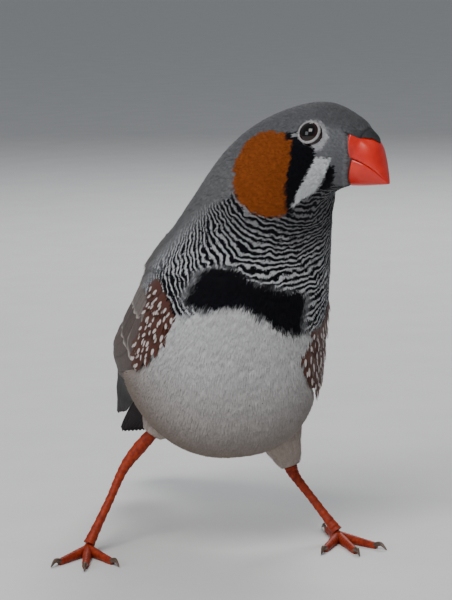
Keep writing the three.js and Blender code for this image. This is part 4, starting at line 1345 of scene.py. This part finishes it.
def ramp(tree, value, low_edge, high_edge, low_out=0.0, high_out=1.0):
    """A soft step from one output to another while the value crosses from edge to edge."""
    ends = (("From Min", low_edge), ("From Max", high_edge), ("To Min", low_out), ("To Max", high_out))
    made = node(tree, "ShaderNodeMapRange", (("Value", value), *ends), interpolation_type="SMOOTHSTEP")
    return made.outputs["Result"]


def blend(tree, amount, a, b):
    """Colour a where the amount is 0, colour b where it is 1."""
    made = node(tree, "ShaderNodeMix", ((0, amount), (6, a), (7, b)), data_type="RGBA")
    return made.outputs[2]

# %% Noise, colour and relief
def noise(tree, scale, detail=3.0):
    """A cloudy value from 0 to 1 with about so many clouds to the metre."""
    where = node(tree, "ShaderNodeTexCoord").outputs["Object"]
    factors = (scale, scale, scale)
    where = node(tree, "ShaderNodeVectorMath", ((0, where), (1, factors)), operation="MULTIPLY").outputs[0]
    clouds = (("Vector", where), ("Scale", 1.0), ("Detail", detail))
    return node(tree, "ShaderNodeTexNoise", clouds).outputs["Fac"]


def coloured(tree, shader, amount, low, high):
    """Gives the shader a colour between low and high."""
    tree.links.new(blend(tree, amount, low, high), shader.inputs["Base Color"])


def shaded(tree, shader, colour, amount):
    """Gives the shader a colour made lighter or darker by an amount."""
    toned = node(tree, "ShaderNodeVectorMath", ((0, colour), ("Scale", amount)), operation="SCALE")
    tree.links.new(toned.outputs[0], shader.inputs["Base Color"])


def bumped(tree, shader, height, strength, distance=0.0001):
    """Lets light fall as if the surface rose and fell by a distance in metres."""
    made = node(tree, "ShaderNodeBump", (("Height", height), ("Strength", strength), ("Distance", distance)))
    tree.links.new(made.outputs["Normal"], shader.inputs["Normal"])


def marks_of(tree):
    """The four marking values: phase of the bars, strength of bars or edge, width of the bars and
    share along the feather. On an eye the first is the angle off its axis."""
    carried = node(tree, "ShaderNodeAttribute", attribute_name="marks")
    parts = node(tree, "ShaderNodeSeparateColor", ((0, carried.outputs["Color"]),))
    return parts.outputs[0], parts.outputs[1], parts.outputs[2], carried.outputs["Alpha"]


# %% [markdown]
# ## Body plumage
# Feather keratin is matt with a faint sheen at grazing angles, because the barbs scatter light. The
# ground colour is stored on each feather and comes from the spot its outer half covers. The black
# bars are drawn from the walked distance, so they keep their even spacing, and a little noise makes
# them waver as real ones do. A painted picture could do it too, but it would need unwrapping.

# %% Plumage material
FEATHER_COLOUR = {"attribute_name": "plumage"}
plumage_finish, tree, shader = new_material("barred plumage", 0.78, Sheen_Weight=0.02, Sheen_Roughness=0.6,
                                            Specular_IOR_Level=0.07)
phase, barred, width, share = marks_of(tree)
ground = node(tree, "ShaderNodeAttribute", **FEATHER_COLOUR).outputs["Color"]
waver = maths(tree, "MULTIPLY", noise(tree, 380.0, 2.0), 2.7)
wave = maths(tree, "SINE", maths(tree, "MULTIPLY", maths(tree, "ADD", phase, waver), 2 * math.pi))
wave = maths(tree, "ADD", wave, maths(tree, "MULTIPLY", width, 0.55))
bar = ramp(tree, wave, 0.0, 0.4)
bar = maths(tree, "MULTIPLY", bar, barred)
ground = blend(tree, bar, ground, (*BLACK, 1.0))
# Painted shade: each feather is darker toward its root, where the feathers over it overlap it, and lighter at
# its tip.
painted_root_shade = ramp(tree, share, 0.0, 0.8, 0.84, 1.04)
grain = ramp(tree, noise(tree, 2600.0, 2.0), 0.2, 0.8, 0.9, 1.1)
shaded(tree, shader, ground, maths(tree, "MULTIPLY", painted_root_shade, grain))
print("nodes of the barred plumage:", len(tree.nodes))

# %% [markdown]
# ## Spotted flank
# Each flank feather has two round white spots toward its tip, one on each side of the shaft. The shader
# measures how far a point is from the nearer spot, in the feather's own coordinates, which run from 0
# to 1 across it and along it. That way the spots lie alike on every feather, whatever its size.

# %% Spotted flank material
# Middle of a spot: share of the feather's width off its shaft, and share of its length.
SPOT_OFF_SHAFT, SPOT_ALONG = 0.22, 0.76
# Squared distance at which a spot has faded out, and at which it is full.
SPOT_EDGE, SPOT_FULL = 0.018, 0.008
SPOT_WHITE = (0.46, 0.41, 0.39, 1)
flank_finish, tree, shader = new_material("spotted flank", 0.75, Sheen_Weight=0.2, Specular_IOR_Level=0.25)
on_feather = node(tree, "ShaderNodeUVMap", uv_map="Feather").outputs[0]
parts = node(tree, "ShaderNodeSeparateXYZ", ((0, on_feather),))
off_middle = maths(tree, "ABSOLUTE", maths(tree, "SUBTRACT", parts.outputs[0], 0.5))
sideways = maths(tree, "MULTIPLY", maths(tree, "SUBTRACT", off_middle, SPOT_OFF_SHAFT), 1.5)
lengthwise = maths(tree, "MULTIPLY", maths(tree, "SUBTRACT", parts.outputs[1], SPOT_ALONG), 1.1)
from_spot = maths(tree, "ADD", maths(tree, "POWER", sideways, 2.0), maths(tree, "POWER", lengthwise, 2.0))
white_spot = ramp(tree, from_spot, SPOT_EDGE, SPOT_FULL)
ground = node(tree, "ShaderNodeAttribute", **FEATHER_COLOUR).outputs["Color"]
coloured(tree, shader, white_spot, ground, SPOT_WHITE)
print("nodes of the spotted flank:", len(tree.nodes))

# %% [markdown]
# ## Wing and tail feathers
# A long feather has a shaft down its middle, fine barbs slanting off it and often a paler margin
# where the vane thins. The shader reads all three from the feather's own coordinates, which run
# across it and from root to tip, so every feather is drawn alike whatever its size.

# %% Vane materials
SHAFT_DARK = (0.03, 0.022, 0.02, 1)
WING_EDGE, TAIL_EDGE = (0.36, 0.32, 0.29, 1), (0.06, 0.05, 0.05, 1)
COVERT_BAR = (0.70, 0.70, 0.68, 1)
BED_DARK, BED_LIGHT = (0.05, 0.042, 0.04, 1), (0.09, 0.075, 0.07, 1)
BARS_PER_FEATHER, BARBS_PER_FEATHER = 2.0, 60.0


def vane_material(name, edge_colour, roughness, bars=False):
    """The finish of long feathers, with a margin or else bars of the edge colour."""
    material, tree, shader = new_material(name, roughness, Sheen_Weight=0.02, Specular_IOR_Level=0.1)
    _, mark, _, _ = marks_of(tree)
    spot = node(tree, "ShaderNodeUVMap", uv_map="Feather").outputs[0]
    parts = node(tree, "ShaderNodeSeparateXYZ", ((0, spot),))
    off_shaft = maths(tree, "ABSOLUTE", maths(tree, "SUBTRACT", parts.outputs[0], 0.5))
    along = parts.outputs[1]
    colour = node(tree, "ShaderNodeAttribute", **FEATHER_COLOUR).outputs["Color"]
    edge = maths(tree, "MAXIMUM", ramp(tree, off_shaft, 0.38, 0.48), ramp(tree, along, 0.86, 0.97))
    if bars:
        stripe = maths(tree, "SINE", maths(tree, "MULTIPLY", along, 2 * math.pi * BARS_PER_FEATHER))
        colour = blend(tree, ramp(tree, stripe, 0.25, 0.5), colour, edge_colour)
    else:
        colour = blend(tree, maths(tree, "MULTIPLY", edge, mark), colour, edge_colour)
    shaft = ramp(tree, off_shaft, 0.035, 0.015)
    colour = blend(tree, maths(tree, "MULTIPLY", shaft, 0.35), colour, SHAFT_DARK)
    lines = maths(tree, "MULTIPLY", along, BARBS_PER_FEATHER)
    slant = maths(tree, "ADD", lines, maths(tree, "MULTIPLY", off_shaft, -22.0))
    barbs = maths(tree, "SINE", maths(tree, "MULTIPLY", slant, 2 * math.pi))
    shaded(tree, shader, colour, ramp(tree, noise(tree, 1500.0), 0.2, 0.8, 0.88, 1.12))
    bumped(tree, shader, barbs, 0.25, 0.00005)
    print(f"{name}: {len(tree.nodes)} nodes")
    return material


wing_finish = vane_material("wing vanes", WING_EDGE, 0.6)
tail_finish = vane_material("tail vanes", TAIL_EDGE, 0.55)
barred_coverts = vane_material("barred coverts", COVERT_BAR, 0.65, bars=True)

bed_finish, tree, shader = new_material("feather bases", 0.9)
coloured(tree, shader, ramp(tree, noise(tree, 900.0), 0.2, 0.8), BED_DARK, BED_LIGHT)

# %% [markdown]
# ## Bill, eyes and bare skin
# The bill's horn is waxy: light enters a little and a broad soft highlight sits on it. The eye is the
# glossiest thing on the bird. The legs are horn too, but matt and uneven, as if dusty. Each of these
# finishes but the eye's mixes two near colours by a fine noise, since one flat colour would look like
# plastic.

# %% Horn, eye and leg materials
BILL_DEEP, BILL_BRIGHT = (0.56, 0.010, 0.004, 1), (0.68, 0.022, 0.006, 1)
EYE_PUPIL, EYE_IRIS = (0.002, 0.001, 0.001, 1), (0.016, 0.005, 0.004, 1)
RIM_DARK, RIM_LIGHT = (0.20, 0.185, 0.18, 1), (0.34, 0.32, 0.315, 1)
LEG_DARK, LEG_LIGHT = (0.18, 0.016, 0.006, 1), (0.34, 0.038, 0.010, 1)
CLAW_DARK, CLAW_LIGHT = (0.055, 0.032, 0.022, 1), (0.11, 0.066, 0.042, 1)
# Where the pupil ends and the iris begins, in radians off the eye's axis.
PUPIL_EDGE, IRIS_EDGE = 0.62, 0.68

bill_finish, tree, shader = new_material("bill horn", 0.33, Subsurface_Weight=0.06, Coat_Weight=0.25,
                                         Coat_Roughness=0.25)
shader.inputs["Subsurface Radius"].default_value = (0.0012, 0.0003, 0.0002)
coloured(tree, shader, ramp(tree, noise(tree, 420.0), 0.3, 0.7), BILL_DEEP, BILL_BRIGHT)
bumped(tree, shader, noise(tree, 1800.0, 2.0), 0.12, 0.0001)

eye_finish, tree, shader = new_material("eye gloss", 0.10, Coat_Weight=0.3, Coat_Roughness=0.03,
                                         Specular_IOR_Level=0.25)
off_axis, _, _, _ = marks_of(tree)
coloured(tree, shader, ramp(tree, off_axis, PUPIL_EDGE, IRIS_EDGE), EYE_PUPIL, EYE_IRIS)

rim_finish, tree, shader = new_material("eye rim skin", 0.6, Subsurface_Weight=0.1)
coloured(tree, shader, ramp(tree, noise(tree, 3000.0), 0.3, 0.7), RIM_DARK, RIM_LIGHT)

leg_finish, tree, shader = new_material("leg scales", 0.5, Specular_IOR_Level=0.2)
coloured(tree, shader, ramp(tree, noise(tree, 1500.0), 0.25, 0.75), LEG_DARK, LEG_LIGHT)
bumped(tree, shader, noise(tree, 3500.0, 2.0), 0.2, 0.0001)

claw_finish, tree, shader = new_material("claw horn", 0.4)
coloured(tree, shader, ramp(tree, noise(tree, 1500.0), 0.3, 0.7), CLAW_DARK, CLAW_LIGHT)
for finish in (bill_finish, eye_finish, rim_finish, leg_finish, claw_finish):
    print(f"{finish.name}: {len(finish.node_tree.nodes)} nodes")

# %% [markdown]
# ## Handing the pieces to the frame
# Each visible piece gets its finish and hides the solids it stands for. The bird is one
# rigid object, so every piece rides on the root. One skin stands for torso, neck, head and thighs at
# once, and the coats over it stand for no solid of their own.

# %% Pieces
placed = []


def place_piece(thing, finish, nodes=()):
    """Gives a piece its finish, puts it on the root and hides the solids it stands for."""
    placed.append(thing.name)
    thing.data.materials.clear()
    thing.data.materials.append(finish)
    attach(thing, "root")
    if nodes:
        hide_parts(*nodes)


place_piece(skin, plumage_finish, ("torso", "neck", "head", "thigh_left", "thigh_right"))
place_piece(head_coat, plumage_finish)
place_piece(forehead_coat, plumage_finish)
place_piece(throat_coat, plumage_finish)
for thing in (breast_coat, belly_coat, back_coat, shoulder_coat, under_coverts, *thigh_coats):
    place_piece(thing, plumage_finish)
place_piece(flank_coat, flank_finish)
place_piece(tail_feathers, tail_finish, ("tail",))
place_piece(tail_coverts, barred_coverts)
place_piece(tail_bed, bed_finish)
place_piece(bill_upper, bill_finish, ("bill_upper",))
place_piece(bill_lower, bill_finish, ("bill_lower",))
for number, title in enumerate(("left", "right")):
    place_piece(wings[number], wing_finish, (f"wing_{title}",))
    place_piece(wing_beds[number], bed_finish)
    place_piece(eyes[number], eye_finish, (f"eye_{title}",))
    place_piece(rims[number], rim_finish)
    place_piece(shanks[number], leg_finish, (f"shank_{title}",))
    place_piece(feet[number], leg_finish, (f"foot_{title}",))
    place_piece(claws[number], claw_finish, [f"claw_{title}_{n}" for n in (1, 2, 3, 4)])
print("pieces on the root:", len(placed))

# %% [markdown]
# ## Floor and light
# The bird stands on a plain pale floor under broad soft lights: a warm one high in front, a cool one
# from its right and one from behind that lifts its outline off the background. Small hard lights
# would make every thin feather throw a sharp shadow.

# %% Floor and light
FLOOR_DARK, FLOOR_LIGHT = (0.70, 0.70, 0.70, 1), (0.73, 0.73, 0.72, 1)
bpy.ops.mesh.primitive_plane_add(size=60.0)
floor = bpy.context.object
floor.name = "floor"
floor_finish, tree, shader = new_material("pale floor", 0.9)
coloured(tree, shader, ramp(tree, noise(tree, 60.0), 0.3, 0.7), FLOOR_DARK, FLOOR_LIGHT)
floor.data.materials.append(floor_finish)
floor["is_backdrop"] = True

world = bpy.data.worlds.new("studio")
bpy.context.scene.world = world
world.use_nodes = True
world.node_tree.nodes["Background"].inputs["Color"].default_value = (0.80, 0.84, 0.90, 1)
world.node_tree.nodes["Background"].inputs["Strength"].default_value = 0.30

# %% Lights
def area_light(name, place, aim, size, power, colour=(1, 1, 1), shine=1.0):
    """A square light in metres and watts; shine 0 lights without showing in highlights."""
    light = bpy.data.lights.new(name, "AREA")
    light.size = size
    light.energy = power
    light.color = colour
    light.specular_factor = shine
    lamp = bpy.data.objects.new(name, light)
    lamp.location = place
    lamp.rotation_euler = (Vector(aim) - Vector(place)).to_track_quat("-Z", "Y").to_euler()
    bpy.context.scene.collection.objects.link(lamp)
    print(f"{name} light: {power} W from {place}")


area_light("key", (-0.22, -0.36, 0.52), (0, 0, 0.05), 0.30, 2.9, (1.0, 0.98, 0.95))
area_light("side", (-0.55, -0.25, 0.25), (0, 0, 0.04), 0.30, 1.1, (0.9, 0.95, 1.0), shine=0.0)
area_light("rim", (0.25, 0.45, 0.45), (0, 0, 0.05), 0.25, 2.0)

# %% [markdown]
# ## Camera
# The camera looks from slightly above and from the bird's right, as in the photograph. It stands some
# way off with a long lens, as a lens close by would swell the head and shrink the feet. Its three
# axes are worked out one by one, because a small roll is awkward to give as turns about fixed axes.

# %% Camera
CAMERA_AZIMUTH, CAMERA_RISE, CAMERA_ROLL = (math.radians(angle) for angle in (-18.0, 8.0, 1.2))
CAMERA_AWAY, CAMERA_LENS, CAMERA_SENSOR = 419.35, 156, 36
CAMERA_AIM = np.array([3.4277, 0.0, 40.3471])
back = np.array([math.sin(CAMERA_AZIMUTH) * math.cos(CAMERA_RISE),
                 -math.cos(CAMERA_AZIMUTH) * math.cos(CAMERA_RISE), math.sin(CAMERA_RISE)])
level = np.array([math.cos(CAMERA_AZIMUTH), math.sin(CAMERA_AZIMUTH), 0.0])
top = np.cross(back, level)
right = level * math.cos(CAMERA_ROLL) - top * math.sin(CAMERA_ROLL)
up = level * math.sin(CAMERA_ROLL) + top * math.cos(CAMERA_ROLL)
camera_data = bpy.data.cameras.new("camera")
camera_data.lens = CAMERA_LENS
camera_data.sensor_width = CAMERA_SENSOR
camera = bpy.data.objects.new("camera", camera_data)
bpy.context.scene.collection.objects.link(camera)
turned = Matrix(np.stack([right, up, back], -1).tolist()).to_4x4()
spot = (CAMERA_AIM + CAMERA_AWAY * back + SHIFT) * MM
camera.matrix_world = Matrix.Translation(Vector(spot)) @ turned
bpy.context.scene.camera = camera
print("camera at, mm:", np.round(spot / MM).tolist())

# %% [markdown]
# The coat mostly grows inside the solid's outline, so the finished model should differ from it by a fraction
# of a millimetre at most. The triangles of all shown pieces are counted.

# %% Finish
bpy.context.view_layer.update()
triangles = sum(len(p.vertices) - 2 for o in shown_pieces() if o.type == "MESH" for p in o.data.polygons)
print("triangles in all:", triangles)
